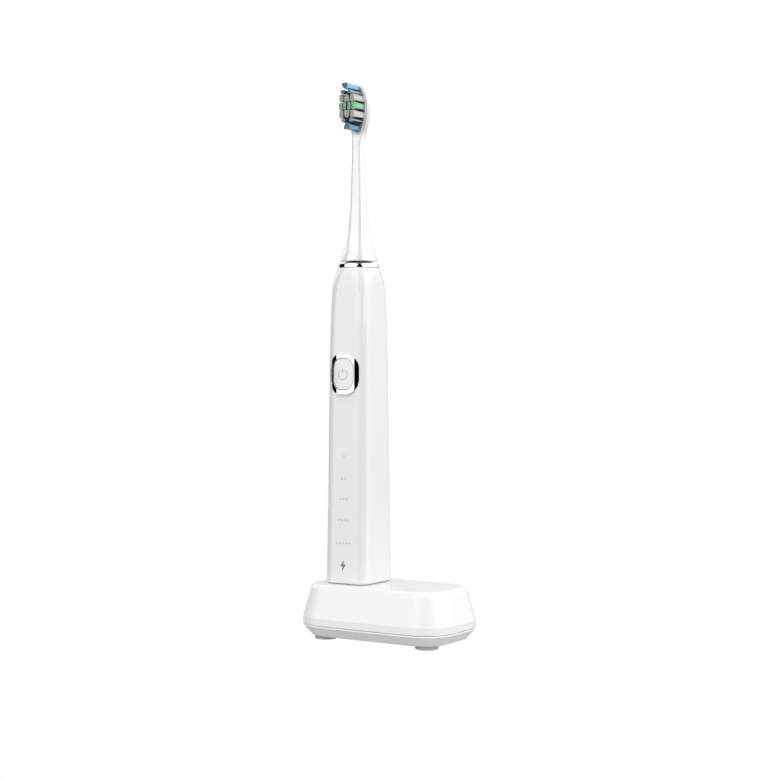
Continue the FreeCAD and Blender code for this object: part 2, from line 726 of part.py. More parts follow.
node(
    cut(
        "inner_chassis",
        at(prism("ChassisBlock", "9.2", "7.45", "4.2", "44", "141.5"), AX, "2.75", "0"),
        [
            box("chassis_pocket", "14.8", "14.2", "50.8", AX + "-7.4", "-5", "59.6"),
            box("chassis_window", "14.8", "13.9", "24", AX + "-7.4", "-5", "114"),
            cyl("chassis_screw_hole_a", "1.02", "8", AX + "-6.5", "10", "43"),
            cyl("chassis_screw_hole_b", "1.02", "8", AX + "+6.5", "10", "43"),
        ],
    ),
    "inner_chassis",
)
node(cyl("battery_cell", "#cell_radius-0.1", "#cell_length-0.6", AX, "#cell_y-0.3", "#cell_bottom+0.3"), "battery_cell")
node(
    group(
        "battery_tabs",
        [
            cyl("tab_low", "3.5", "0.3", AX, "#cell_y-0.3", "#cell_bottom"),
            cyl("tab_high", "3.5", "0.3", AX, "#cell_y-0.3", "#cell_bottom+#cell_length-0.3"),
        ],
    ),
    "battery_tabs",
)
node(
    box("control_board", "2*#hboard_half_x", "#hboard_thick", "#hboard_top-#hboard_bottom", AX + "-#hboard_half_x", "#hboard_front", "#hboard_bottom"),
    "control_board",
)
node(
    group(
        "control_board_components",
        [
            box("mcu", "5", "1.2", "5", AX + "-2.5", "#hboard_front-1.2", "112"),
            box("charger_chip", "3", "1.0", "3", AX + "-5.5", "#hboard_front-1.0", "103"),
            box("motor_driver", "3", "1.0", "4", AX + "+2.5", "#hboard_front-1.0", "103"),
            box("board_capacitor", "2", "1.0", "1.2", AX + "+4.5", "#hboard_front-1.0", "120"),
        ],
    ),
    "control_board_components",
)
node(
    group(
        "indicator_leds",
        [
            box("led_%d" % k, "1.6", "0.8", "0.8", AX + "-0.8", "#hboard_front-0.8", str(z - 0.4))
            for k, z in enumerate((91.6, 80.5, 70.3, 59.8, 48.4))
        ],
    ),
    "indicator_leds",
)
node(box("light_guide", "8", "2.8", "55", AX + "-4", "-10.9", "41"), "light_guide")

node(
    cut(
        "motor_can",
        cyl("can_solid", "#can_radius", "#can_top-#can_bottom", AX, "0", "#can_bottom"),
        [
            cyl("can_cavity", "#can_radius-#can_wall", "#can_top-#can_bottom-2*#can_end", AX, "0", "#can_bottom+#can_end"),
            cyl("can_bearing_holes", "#bearing_radius", "#can_top-#can_bottom+2", AX, "0", "#can_bottom-1"),
        ],
    ),
    "motor_can",
)
for label, z in (("rear_bearing", "#can_bottom"), ("front_bearing", "#can_top-#can_end")):
    node(
        cut(
            label,
            cyl(label + "_race", "#bearing_radius", "#can_end", AX, "0", z),
            [cyl(label + "_bore", "#bearing_bore", "8", AX, "0", z + "-2")],
        ),
        label,
    )
node(
    cut(
        "stator_coils",
        cyl("stator_solid", "#stator_outer", "#rotor_length+2", AX, "0", "#rotor_bottom-1"),
        [
            cyl("stator_bore", "#stator_inner", "30", AX, "0", "#rotor_bottom-4"),
            box("stator_slot", "2", "20", "30", AX + "-1", "-10", "#rotor_bottom-4"),
        ],
    ),
    "stator_coils",
)

# ---------------------------------------------------------------- drive
node(
    cut(
        "drive_shaft",
        cyl("shaft_round", "#shaft_radius", "#shaft_top-#shaft_bottom", AX, "0", "#shaft_bottom"),
        [box("shaft_flat_cut", "6", "3", "20", AX + "-3", "#shaft_flat", "#head_bottom+1.5")],
    ),
    "drive_shaft",
)
node(
    cut(
        "rotor_core",
        cyl("rotor_solid", "#rotor_radius", "#rotor_length", AX, "0", "#rotor_bottom"),
        [cyl("rotor_bore", "#shaft_radius+0.02", "#rotor_length+2", AX, "0", "#rotor_bottom-1")],
    ),
    "rotor_core",
)
node(
    cut(
        "rotor_magnets",
        cyl("magnet_solid", "#magnet_radius", "#rotor_length", AX, "0", "#rotor_bottom"),
        [
            cyl("magnet_bore", "#rotor_radius+0.02", "#rotor_length+2", AX, "0", "#rotor_bottom-1"),
            box("magnet_slot_a", "1.2", "14", "#rotor_length+2", AX + "-0.6", "-7", "#rotor_bottom-1"),
            box("magnet_slot_b", "14", "1.2", "#rotor_length+2", AX + "-7", "-0.6", "#rotor_bottom-1"),
        ],
    ),
    "rotor_magnets",
)

# ---------------------------------------------------------------- brush head
nb = body("NeckOuter")
sections = []
for i in range(1, len(NECK) + 1):
    sections.append(
        rect_sketch(
            nb,
            "nk%d" % i,
            "#neck%d_half_x" % i,
            "#neck%d_half_y" % i,
            "#neck%d_corner" % i,
            "#neck%d_z" % i,
            off="#neck%d_offset" % i if NECK[i - 1][4] else "0",
        )
    )
loft(nb, "neck_outside", sections, ruled=False)
at(nb, AX, "0", "0")
outline = doc.addObject("Part::Ellipse", "plate_outline")
bind(outline, MajorRadius="#plate_half_z", MinorRadius="#plate_half_x")
outline.Placement = FreeCAD.Placement(
    V(0, 0, 0), FreeCAD.Rotation(V(1, 0, 0), 90).multiply(FreeCAD.Rotation(V(0, 0, 1), 90))
)
at(outline, AX, "#plate_front", "#plate_z")
slab = doc.addObject("Part::Extrusion", "plate_slab")
slab.Base = outline
slab.DirMode = "Custom"
slab.Dir = V(0, 1, 0)
slab.Solid = True
slab.setExpression("LengthFwd", e("#plate_back-#plate_front"))
node(
    cut(
        "brush_neck",
        fuse("neck_solid", [nb, slab]),
        [cyl("socket_hole", "#socket_radius", "#socket_top-#head_bottom+1", AX, "0", "#head_bottom-1")],
    ),
    "brush_neck",
)
bore_round = cyl("socket_bore_round", "#socket_bore", "#shaft_top+0.5-#head_bottom+1", AX, "0", "#head_bottom-1")
bore_flat = box("socket_bore_flat", "6", "3", "30", AX + "-3", "#shaft_flat+0.05", "#head_bottom+1.5")
socket_bore = cut("socket_bore_shape", bore_round, [bore_flat])
node(
    cut(
        "shaft_socket",
        cyl("socket_solid", "#socket_radius", "#socket_top-#head_bottom-0.1", AX, "0", "#head_bottom+0.1"),
        [
            socket_bore,
            cut("band_groove", cyl("band_groove_out", "#socket_radius+1", "4", AX, "0", "195"), [cyl("band_groove_in", "2.9", "6", AX, "0", "194")]),
        ],
    ),
    "shaft_socket",
)
node(
    cut("socket_spring_band", cyl("band_out", "#socket_radius", "4", AX, "0", "195"), [cyl("band_in", "2.9", "6", AX, "0", "194")]),
    "socket_spring_band",
)

# Tufts: row height, half height, tip, then the X span of each tuft beside the axis.
TUFTS = {
    "bristles_tip_blue": [(274.9, 1.5, -12.9, [(-1.8, 1.8)]), (255.3, 1.4, -11.0, [(-1.9, 1.9)])],
    "bristles_thin_blue": [(272.3, 0.8, -12.0, [(-3.0, -1.0), (1.0, 3.0)]), (258.3, 0.8, -11.0, [(-3.0, -1.0), (1.0, 3.0)])],
    "bristles_white": [
        (269.2, 1.5, -11.0, [(-4.6, -2.5), (-1.5, 1.5), (2.5, 4.6)]),
        (261.2, 1.5, -11.0, [(-4.6, -2.5), (-1.5, 1.5), (2.5, 4.6)]),
    ],
    "bristles_green": [(265.2, 1.5, -11.0, [(-4.8, -2.9), (-2.1, -0.4), (0.4, 2.1), (2.9, 4.8)])],
}
for label, rows in TUFTS.items():
    tufts = []
    for z, half, tip, spans in rows:
        for x0, x1 in spans:
            tufts.append(
                box(
                    "%s_%d" % (label, len(tufts)),
                    str(x1 - x0),
                    "#plate_front-(%s)" % tip,
                    str(2 * half),
                    AX + "+(%s)" % x0,
                    str(tip),
                    str(z - half),
                )
            )
    node(group(label, tufts), label)

doc.recompute()

# ---------------------------------------------------------------- checks and output
bad = [o.Name for o in doc.Objects if any(s in ("Invalid", "Error") for s in o.State)]
if bad:
    raise RuntimeError("failed objects: %s" % bad)
os.makedirs("parts", exist_ok=True)
for o in NODES:
    shape = o.Shape
    if shape.isNull() or not shape.isValid() or not shape.Solids:
        raise RuntimeError("bad shape: " + o.Label)
for o in NODES:
    shape = o.Shape
    bb = shape.BoundBox
    print(
        "%-26s solids %2d vol %9.1f  x %.2f..%.2f y %.2f..%.2f z %.2f..%.2f"
        % (o.Label, len(shape.Solids), shape.Volume, bb.XMin, bb.XMax, bb.YMin, bb.YMax, bb.ZMin, bb.ZMax)
    )
    shape.exportStep("parts/%s.step" % o.Label)
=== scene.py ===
import math
import random

import bpy
import numpy as np
from mathutils import Matrix, Vector


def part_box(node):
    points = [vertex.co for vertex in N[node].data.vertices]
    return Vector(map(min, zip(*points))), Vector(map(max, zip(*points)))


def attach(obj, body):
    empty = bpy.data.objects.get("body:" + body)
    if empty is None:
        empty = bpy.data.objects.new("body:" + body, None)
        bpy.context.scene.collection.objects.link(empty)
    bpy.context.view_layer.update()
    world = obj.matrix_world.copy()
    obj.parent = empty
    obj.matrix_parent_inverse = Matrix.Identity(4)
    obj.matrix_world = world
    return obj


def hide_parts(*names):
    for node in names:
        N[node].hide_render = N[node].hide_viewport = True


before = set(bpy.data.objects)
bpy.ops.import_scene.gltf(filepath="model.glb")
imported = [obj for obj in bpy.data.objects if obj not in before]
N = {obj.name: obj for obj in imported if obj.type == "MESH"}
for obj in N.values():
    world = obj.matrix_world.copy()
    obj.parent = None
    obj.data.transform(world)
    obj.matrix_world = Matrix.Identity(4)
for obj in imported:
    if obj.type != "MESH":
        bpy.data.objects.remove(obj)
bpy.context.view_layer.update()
MM = 0.001
AX = (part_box("drive_shaft")[0].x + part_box("drive_shaft")[1].x) / 2 / MM   # the brush's long axis

# ------------------------------------------------------------------ small tools


def mesh_object(name, verts, faces, normals=None, smooth=True):
    """A mesh from points in millimetres; normals are one per vertex, kept as custom normals."""
    me = bpy.data.meshes.new(name)
    me.from_pydata([(x * MM, y * MM, z * MM) for x, y, z in verts], [], faces)
    me.update()
    me.polygons.foreach_set("use_smooth", [smooth] * len(me.polygons))
    if normals is not None:
        me.normals_split_custom_set_from_vertices([tuple(n) for n in normals])
    me.update()
    ob = bpy.data.objects.new(name, me)
    bpy.context.scene.collection.objects.link(ob)
    return ob


def point_values(ob, name, values):
    """A number per vertex that a material can read."""
    at_ = ob.data.attributes.new(name, "FLOAT", "POINT")
    at_.data.foreach_set("value", [float(x) for x in values])


def read_values(nt, name):
    node_ = nt.nodes.new("ShaderNodeAttribute")
    node_.attribute_name = name
    return node_.outputs["Fac"]


def finish_piece(ob, body, material, slot, *replaced):
    ob.data.materials.clear()
    ob.data.materials.append(material)
    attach(ob, body)
    if replaced:
        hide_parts(*replaced)
    return ob


def pchip(xs, ys):
    """Monotone cubic interpolation, so that a section blends smoothly and never overshoots."""
    xs, ys = np.array(xs, float), np.array(ys, float)
    h = np.diff(xs)
    d = np.diff(ys) / h
    m = np.zeros(len(xs))
    for i in range(1, len(xs) - 1):
        if d[i - 1] * d[i] > 0:
            w1, w2 = 2 * h[i] + h[i - 1], h[i] + 2 * h[i - 1]
            m[i] = (w1 + w2) / (w1 / d[i - 1] + w2 / d[i])
    m[0], m[-1] = d[0], d[-1]

    def f(x):
        x = np.clip(np.asarray(x, float), xs[0], xs[-1])
        i = np.clip(np.searchsorted(xs, x, side="right") - 1, 0, len(xs) - 2)
        t = (x - xs[i]) / h[i]
        return (
            (2 * t**3 - 3 * t**2 + 1) * ys[i]
            + (t**3 - 2 * t**2 + t) * h[i] * m[i]
            + (-2 * t**3 + 3 * t**2) * ys[i + 1]
            + (t**3 - t**2) * h[i] * m[i + 1]
        )

    return f


def rounded_rect(n_arc=20, n_line=8):
    """Directions round a rounded rectangle: (corner sign x, corner sign y, normal x, normal y), from the middle of the front.
    A flat stretch is given by t, the place between its two corners."""
    out = []
    quad = [(1, -1, -90), (1, 1, 0), (-1, 1, 90), (-1, -1, 180)]
    for k, (sx, sy, a0) in enumerate(quad):
        for i in range(n_arc + 1):
            a = math.radians(a0 + 90 * i / n_arc)
            out.append((sx, sy, math.cos(a), math.sin(a)))
        nx_, ny_, _ = quad[(k + 1) % 4]
        a = math.radians(a0 + 90)
        for i in range(1, n_line):
            t = 0.5 - 0.5 * math.cos(math.pi * i / n_line)
            out.append((sx + (nx_ - sx) * t, sy + (ny_ - sy) * t, math.cos(a), math.sin(a)))
    return out


RR = rounded_rect()


def section(hx, hy, r, cx=0.0, cy=0.0, ring=None):
    ring = ring or RR
    return [(cx + sx * (hx - r) + r * nx, cy + sy * (hy - r) + r * ny) for sx, sy, nx, ny in ring]


def skin(rows, ring=None, close_bottom=False, close_top=False):
    """rows: dicts with hx, hy, r, z, cx, cy and normal (ca, sa): the outward share and the upward share of the surface's normal.
    Returns points, faces, normals of the tube through them."""
    ring = ring or RR
    n = len(ring)
    verts, faces, normals = [], [], []
    for row in rows:
        for (x, y), (sx, sy, nx, ny) in zip(section(row["hx"], row["hy"], row["r"], row.get("cx", 0), row.get("cy", 0), ring), ring):
            verts.append((x, y, row["z"]))
            ca, sa = row["n"]
            if callable(ca):
                s = ca(sx, sy, nx, ny)
                v = Vector((nx, ny, -s)).normalized()
            else:
                v = Vector((nx * ca, ny * ca, sa)).normalized()
            normals.append(v)
    for j in range(len(rows) - 1):
        for i in range(n):
            a, b = j * n + i, j * n + (i + 1) % n
            faces.append((a, b, b + n, a + n))
    if close_bottom:
        faces.append(tuple(reversed(range(n))))
    if close_top:
        faces.append(tuple((len(rows) - 1) * n + i for i in range(n)))
    return verts, faces, normals


def lathe(name, profile, segments=96, cx=None, cy=0.0, axis="z", base=0.0):
    """A turned piece: profile is a list of (radius, height, normal radial, normal axial)."""
    cx = AX if cx is None else cx
    verts, faces, normals = [], [], []
    for k in range(segments):
        a = 2 * math.pi * k / segments
        c, s = math.cos(a), math.sin(a)
        for r, h, nr, nz in profile:
            verts.append((cx + r * c, cy + r * s, base + h))
            normals.append(Vector((nr * c, nr * s, nz)).normalized() if (nr or nz) else Vector((0, 0, 1)))
    m = len(profile)
    for k in range(segments):
        for j in range(m - 1):
            a, b = k * m + j, ((k + 1) % segments) * m + j
            faces.append((a, b, b + 1, a + 1))
    return mesh_object(name, verts, faces, normals)


def arc_profile(cr, ch, rad, a0, a1, n=8):
    """Points of a rounding in a lathe profile, from angle a0 to a1 in degrees, normals outwards."""
    out = []
    for i in range(n + 1):
        a = math.radians(a0 + (a1 - a0) * i / n)
        out.append((cr + rad * math.cos(a), ch + rad * math.sin(a), math.cos(a), math.sin(a)))
    return out


# ------------------------------------------------------------------ materials


def new_material(name, color, rough, metallic=0.0, coat=0.0, coat_rough=0.05, spec=0.5, sss=0.0, ior=1.5):
    m = bpy.data.materials.new(name)
    m.use_nodes = True
    nt = m.node_tree
    b = nt.nodes["Principled BSDF"]
    b.inputs["Base Color"].default_value = (*color, 1)
    b.inputs["Roughness"].default_value = rough
    b.inputs["Metallic"].default_value = metallic
    b.inputs["Coat Weight"].default_value = coat
    b.inputs["Coat Roughness"].default_value = coat_rough
    b.inputs["Specular IOR Level"].default_value = spec
    b.inputs["IOR"].default_value = ior
    if sss:
        b.inputs["Subsurface Weight"].default_value = sss
        b.inputs["Subsurface Radius"].default_value = (0.0012, 0.0011, 0.001)
        b.inputs["Subsurface Scale"].default_value = 1.0
    return m, nt, b


def texture_coords(nt):
    tc = nt.nodes.new("ShaderNodeTexCoord")
    return tc.outputs["Object"]


def noise(nt, scale, detail=2.0, rough=0.5, vec=None):
    n = nt.nodes.new("ShaderNodeTexNoise")
    n.inputs["Scale"].default_value = scale
    n.inputs["Detail"].default_value = detail
    n.inputs["Roughness"].default_value = rough
    nt.links.new(vec or texture_coords(nt), n.inputs["Vector"])
    return n.outputs["Fac"]


def ramp(nt, fac, lo, hi, p0=0.3, p1=0.7):
    r = nt.nodes.new("ShaderNodeMapRange")
    r.inputs["From Min"].default_value = p0
    r.inputs["From Max"].default_value = p1
    r.inputs["To Min"].default_value = lo
    r.inputs["To Max"].default_value = hi
    nt.links.new(fac, r.inputs["Value"])
    return r.outputs["Result"]


def mix_color(nt, fac, c0, c1):
    r = nt.nodes.new("ShaderNodeValToRGB")
    r.color_ramp.elements[0].position = 0.3
    r.color_ramp.elements[1].position = 0.7
    r.color_ramp.elements[0].color = (*c0, 1)
    r.color_ramp.elements[1].color = (*c1, 1)
    nt.links.new(fac, r.inputs["Fac"])
    return r.outputs["Color"]


def bump(nt, b, height, strength, distance):
    n = nt.nodes.new("ShaderNodeBump")
    n.inputs["Strength"].default_value = strength
    n.inputs["Distance"].default_value = distance
    nt.links.new(height, n.inputs["Height"])
    nt.links.new(n.outputs["Normal"], b.inputs["Normal"])


def shade(c, k):
    return tuple(max(0.0, min(1.0, x * k)) for x in c)


def moulded(name, color, rough, vary=0.02, grain=4000.0, depth=0.000002, strength=0.04, **kw):
    """Moulded plastic or rubber: faint mottling in the colour, uneven gloss, and a fine surface grain."""
    m, nt, b = new_material(name, color, rough, **kw)
    big = noise(nt, 60.0, 3.0)
    nt.links.new(mix_color(nt, big, shade(color, 1 - vary), shade(color, 1 + vary * 0.5)), b.inputs["Base Color"])
    nt.links.new(ramp(nt, noise(nt, 90.0, 1.0), rough * 0.96, rough * 1.04), b.inputs["Roughness"])
    bump(nt, b, noise(nt, grain, 2.0), strength, depth)
    return m


def brushed(name, color, rough, stretch=(1, 1, 5), metallic=1.0):
    m, nt, b = new_material(name, color, rough, metallic=metallic)
    mp = nt.nodes.new("ShaderNodeMapping")
    mp.inputs["Scale"].default_value = stretch
    nt.links.new(texture_coords(nt), mp.inputs["Vector"])
    f = noise(nt, 300.0, 3.0, vec=mp.outputs["Vector"])
    nt.links.new(ramp(nt, f, rough * 0.7, rough * 1.3), b.inputs["Roughness"])
    nt.links.new(mix_color(nt, f, shade(color, 0.97), shade(color, 1.02)), b.inputs["Base Color"])
    bump(nt, b, f, 0.03, 0.000005)
    return m


def polished(name, color, rough):
    """Chrome plating: near mirror, with a very faint haze that isn't even."""
    m, nt, b = new_material(name, color, rough, metallic=1.0)
    nt.links.new(ramp(nt, noise(nt, 500.0, 4.0), rough * 0.6, rough * 1.5), b.inputs["Roughness"])
    nt.links.new(mix_color(nt, noise(nt, 90.0, 2.0), shade(color, 0.98), color), b.inputs["Base Color"])
    return m


def winding(name, color, pitch):
    """Enamelled wire laid side by side; the darker bands between the turns are painted shade in the grooves."""
    m, nt, b = new_material(name, color, 0.35, metallic=0.9, coat=0.3)
    w = nt.nodes.new("ShaderNodeTexWave")
    w.wave_type = "BANDS"
    w.bands_direction = "Z"
    w.inputs["Scale"].default_value = 0.314 / pitch
    w.inputs["Distortion"].default_value = 0.4
    nt.links.new(texture_coords(nt), w.inputs["Vector"])
    nt.links.new(mix_color(nt, w.outputs["Fac"], shade(color, 0.45), color), b.inputs["Base Color"])
    bump(nt, b, w.outputs["Fac"], 0.6, 0.0001)
    return m


WHITE = (0.86, 0.86, 0.865)
M = {
    "shell": moulded("mat_base_shell", (0.84, 0.84, 0.842), 0.26, vary=0.003, grain=2600.0, coat=0.35, coat_rough=0.12, sss=0.05),
    "handle": moulded("mat_handle", (0.81, 0.81, 0.812), 0.20, vary=0.003, grain=2600.0, coat=0.8, coat_rough=0.10, spec=0.8, sss=0.05),
    "head": moulded("mat_head", (0.88, 0.88, 0.882), 0.16, vary=0.003, grain=2200.0, coat=1.0, coat_rough=0.08, spec=1.0, metallic=0.12),
    "cover": moulded("mat_cover", (0.90, 0.90, 0.905), 0.5, vary=0.03, grain=3200.0, depth=0.00002, strength=0.35),
    "lip": moulded("mat_cover_lip", (0.82, 0.82, 0.83), 0.45, vary=0.02, grain=3200.0, depth=0.00001, strength=0.2),
    "chrome": polished("mat_chrome", (0.93, 0.93, 0.94), 0.035),
    "foot": moulded("mat_foot_rubber", (0.40, 0.40, 0.41), 0.45, vary=0.04, grain=5000.0, depth=0.00003, strength=0.4),
    "seal": moulded("mat_seal_rubber", (0.008, 0.008, 0.009), 0.6, vary=0.1, grain=5000.0, depth=0.00002, strength=0.3, spec=0.12),
    "silicone": moulded("mat_silicone", (0.6, 0.6, 0.62), 0.5, vary=0.02),
    "button": moulded("mat_button", (0.85, 0.85, 0.852), 0.32, vary=0.008, grain=2600.0, coat=0.3, coat_rough=0.12, sss=0.05),
    "inner": moulded("mat_inner_plastic", (0.66, 0.66, 0.63), 0.5, vary=0.03),
    "diffuser": moulded("mat_diffuser", (0.8, 0.8, 0.76), 0.45, vary=0.02, sss=0.2),
    "black": moulded("mat_black_plastic", (0.02, 0.02, 0.02), 0.45, vary=0.1),
    "steel": brushed("mat_steel", (0.55, 0.55, 0.56), 0.28),
    "magnet": brushed("mat_magnet", (0.42, 0.42, 0.45), 0.2),
    "ferrite": moulded("mat_ferrite", (0.045, 0.045, 0.05), 0.5, vary=0.15, depth=0.00003, strength=0.4),
    "copper": winding("mat_copper_winding", (0.62, 0.27, 0.11), 0.00025),
    "board": moulded("mat_circuit_board", (0.012, 0.10, 0.03), 0.35, vary=0.2, coat=0.3),
    "component": moulded("mat_component", (0.025, 0.025, 0.028), 0.5, vary=0.15),
    "cell": moulded("mat_cell_wrap", (0.02, 0.07, 0.26), 0.3, vary=0.05, coat=0.3),
}


def filament(name, base, tip, y_tip, y_root):
    """Nylon filament: colour varies from strand to strand; painted shade darkens it towards the root and nearly
    blackens strands that face a narrow gap, and the tips get painted light and shade for the tufts' end faces.
    """
    m, nt, b = new_material(name, base, 0.45, sss=0.0)
    info = nt.nodes.new("ShaderNodeNewGeometry")
    rnd = info.outputs["Random Per Island"]
    strand = nt.nodes.new("ShaderNodeValToRGB")
    strand.color_ramp.elements[0].position = 0.0
    strand.color_ramp.elements[1].position = 1.0
    strand.color_ramp.elements[0].color = (*shade(base, 0.86), 1)
    strand.color_ramp.elements[1].color = (*shade(base, 1.06), 1)
    nt.links.new(rnd, strand.inputs["Fac"])
    sep = nt.nodes.new("ShaderNodeSeparateXYZ")
    nt.links.new(texture_coords(nt), sep.inputs["Vector"])
    # painted light and shade: near the tip the strands take the tone the tufts' end faces show in the light
    near_tip = ramp(nt, sep.outputs["Y"], 1.0, 0.0, y_tip * MM, (y_tip + 0.45) * MM)
    mix = nt.nodes.new("ShaderNodeMix")
    mix.data_type = "RGBA"
    nt.links.new(near_tip, mix.inputs["Factor"])
    nt.links.new(strand.outputs["Color"], mix.inputs["A"])
    mix.inputs["B"].default_value = (*tip, 1)
    # painted shade: the strands darken over the last 3 mm towards the plate
    root = ramp(nt, sep.outputs["Y"], 0.0, 1.0, (y_root - 3.0) * MM, (y_root - 0.2) * MM)
    mix2 = nt.nodes.new("ShaderNodeMix")
    mix2.data_type = "RGBA"
    nt.links.new(root, mix2.inputs["Factor"])
    nt.links.new(mix.outputs["Result"], mix2.inputs["A"])
    mix2.inputs["B"].default_value = (*shade(base, 0.72), 1)
    # painted shade: the 'depth' value darkens strands facing a narrow gap nearly to black
    mix3 = nt.nodes.new("ShaderNodeMix")
    mix3.data_type = "RGBA"
    nt.links.new(read_values(nt, "depth"), mix3.inputs["Factor"])
    nt.links.new(mix2.outputs["Result"], mix3.inputs["A"])
    mix3.inputs["B"].default_value = (*shade(base, 0.05), 1)
    nt.links.new(mix3.outputs["Result"], b.inputs["Base Color"])
    nt.links.new(ramp(nt, rnd, 0.36, 0.52, 0.0, 1.0), b.inputs["Roughness"])
    return m


# the bristle plate gets little light between the tufts' roots
nt = M["head"].node_tree
b = nt.nodes["Principled BSDF"]
source = b.inputs["Base Color"].links[0].from_socket
mixr = nt.nodes.new("ShaderNodeMix")
mixr.data_type = "RGBA"
nt.links.new(read_values(nt, "roots"), mixr.inputs["Factor"])
nt.links.new(source, mixr.inputs["A"])
mixr.inputs["B"].default_value = (0.22, 0.22, 0.225, 1)
nt.links.new(mixr.outputs["Result"], b.inputs["Base Color"])

# ------------------------------------------------------------------ CAD nodes that stay as they are
CAD_MATERIALS = {
    "base_screws": "steel", "primary_ferrite_core": "ferrite", "coil_bobbin": "black", "primary_coil": "copper",
    "base_circuit_board": "board", "base_board_components": "component", "inlet_receptacle": "steel", "inlet_tongue": "black",
    "handle_end_cap": "handle", "end_cap_seal": "silicone", "inner_chassis": "inner", "chassis_screws": "steel",
    "motor_can": "steel", "stator_coils": "copper", "front_bearing": "steel", "rear_bearing": "steel", "battery_cell": "cell",
    "battery_tabs": "steel", "control_board": "board", "control_board_components": "component", "indicator_leds": "diffuser",
    "light_guide": "diffuser", "tactile_switch": "black", "button_gasket": "silicone", "secondary_coil": "copper",
    "drive_shaft": "steel", "rotor_core": "steel", "rotor_magnets": "magnet", "shaft_socket": "inner", "socket_spring_band": "steel",
}
for node, key in CAD_MATERIALS.items():
    ob = N[node]
    ob.data.materials.clear()
    ob.data.materials.append(M[key])

# ------------------------------------------------------------------ charging base
BASE_HX, BASE_HY, BASE_R, BOW = 42.6, 24.35, 15.9, 0.62
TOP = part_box("base_upper_shell")[1].z / MM - 9.0     # top face, 9 mm below the post's tip
BASE_RING = rounded_rect(28, 14)


def base_rows(profile):
    """profile: (z, inset, outward share, upward share)."""
    return [dict(z=z, hx=BASE_HX - i, hy=BASE_HY - i, r=max(BASE_R - i, 0.5), n=(ca, sa)) for z, i, ca, sa in profile]


def bowed(verts):
    """The base's long sides bulge slightly outwards."""
    out = []
    for x, y, z in verts:
        u = min(1.0, abs(x) / BASE_HX)
        out.append((x, y + math.copysign(BOW * (1 - u * u) * min(1.0, abs(y) / 18.0), y), z))
    return out


def fillet_points(z_c, i_c, r, a0, a1, n):
    """Rounding in a base profile; angles from the outward direction, upwards."""
    out = []
    for k in range(n + 1):
        a = math.radians(a0 + (a1 - a0) * k / n)
        out.append((z_c + r * math.sin(a), i_c - r * math.cos(a), math.cos(a), math.sin(a)))
    return out


TAPER = 15.7
tt = math.tan(math.radians(TAPER))
FR = 3.9
ca, sa = math.cos(math.radians(TAPER)), math.sin(math.radians(TAPER))
# top rounding: its centre lies FR below the top and FR/cos inside the tapered side
zc = TOP - FR
ic = (zc - 11.6) * tt + FR / ca
profile = [(7.9, 2.0, 0.0, -1.0), (7.9, 0.25, 0.0, -1.0)]
profile += fillet_points(7.9 + 0.25, 0.25, 0.25, -90, 0, 4)
# soft break between the vertical skirt and the taper
br = 2.2
half = br * math.tan(math.radians(TAPER / 2))
profile += fillet_points(11.6 - half, br, br, 0, TAPER, 5)
steps = 8
z1, i1 = profile[-1][0], profile[-1][1]
zt, it = zc + FR * sa, ic - FR * ca
for k in range(1, steps):
    t = k / steps
    profile.append((z1 + (zt - z1) * t, i1 + (it - i1) * t, ca, sa))
profile += fillet_points(zc, ic, FR, TAPER, 90, 12)
v, f, nrm = skin(base_rows(profile), BASE_RING)
v = bowed(v)
# top face: flat rings that shrink to the middle
n = len(BASE_RING)
last = v[-n:]
rings = 7
for k in range(1, rings):
    s = 1 - k / rings
    for x, y, z in last:
        v.append((x * (0.35 + 0.65 * s) if k < rings else 0, y * s, z))
        nrm.append(Vector((0, 0, 1)))
start = len(profile) * n
for k in range(rings - 1):
    a0 = (len(profile) - 1 + k) * n
    for i in range(n):
        a, b = a0 + i, a0 + (i + 1) % n
        f.append((a, b, b + n, a + n))
f.append(tuple((len(profile) - 1 + rings - 1) * n + i for i in range(n)))
shell = mesh_object("upper_shell_skin", v, f, nrm)

# rear inlet mouth, cut through the rear wall
lo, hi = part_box("inlet_receptacle")
iz = (lo.z + hi.z) / 2 / MM
mouth = [(math.copysign(1, math.cos(a)) * 3.0 * (abs(math.cos(a)) > 1e-9) + 1.85 * math.cos(a), 1.85 * math.sin(a)) for a in [2 * math.pi * (k + 0.5) / 40 for k in range(40)]]
cv = [(x, 21.0, iz + z) for x, z in mouth] + [(x, 27.0, iz + z) for x, z in mouth]
cf = [tuple(range(40)), tuple(reversed(range(40, 80)))] + [(i, i + 40, (i + 1) % 40 + 40, (i + 1) % 40) for i in range(40)]
cutter = mesh_object("inlet_cutter", cv, cf, smooth=False)


def carve(ob, tool):
    """Cuts tool out of ob and keeps ob's own smooth normals."""
    clean = ob.copy()
    clean.data = ob.data.copy()
    bpy.context.scene.collection.objects.link(clean)
    md = ob.modifiers.new("cut", "BOOLEAN")
    md.operation = "DIFFERENCE"
    md.solver = "EXACT"
    md.object = tool
    dt = ob.modifiers.new("normals", "DATA_TRANSFER")
    dt.object = clean
    dt.use_loop_data = True
    dt.data_types_loops = {"CUSTOM_NORMAL"}
    dt.loop_mapping = "POLYINTERP_NEAREST"
    bpy.context.view_layer.update()
    dg = bpy.context.evaluated_depsgraph_get()
    me = bpy.data.meshes.new_from_object(ob.evaluated_get(dg))
    ob.modifiers.clear()
    ob.data = me
    for o in (clean, tool):
        bpy.data.objects.remove(o)
    return ob


carve(shell, cutter)
finish_piece(shell, "charger", M["shell"], "white_gloss", "base_upper_shell")

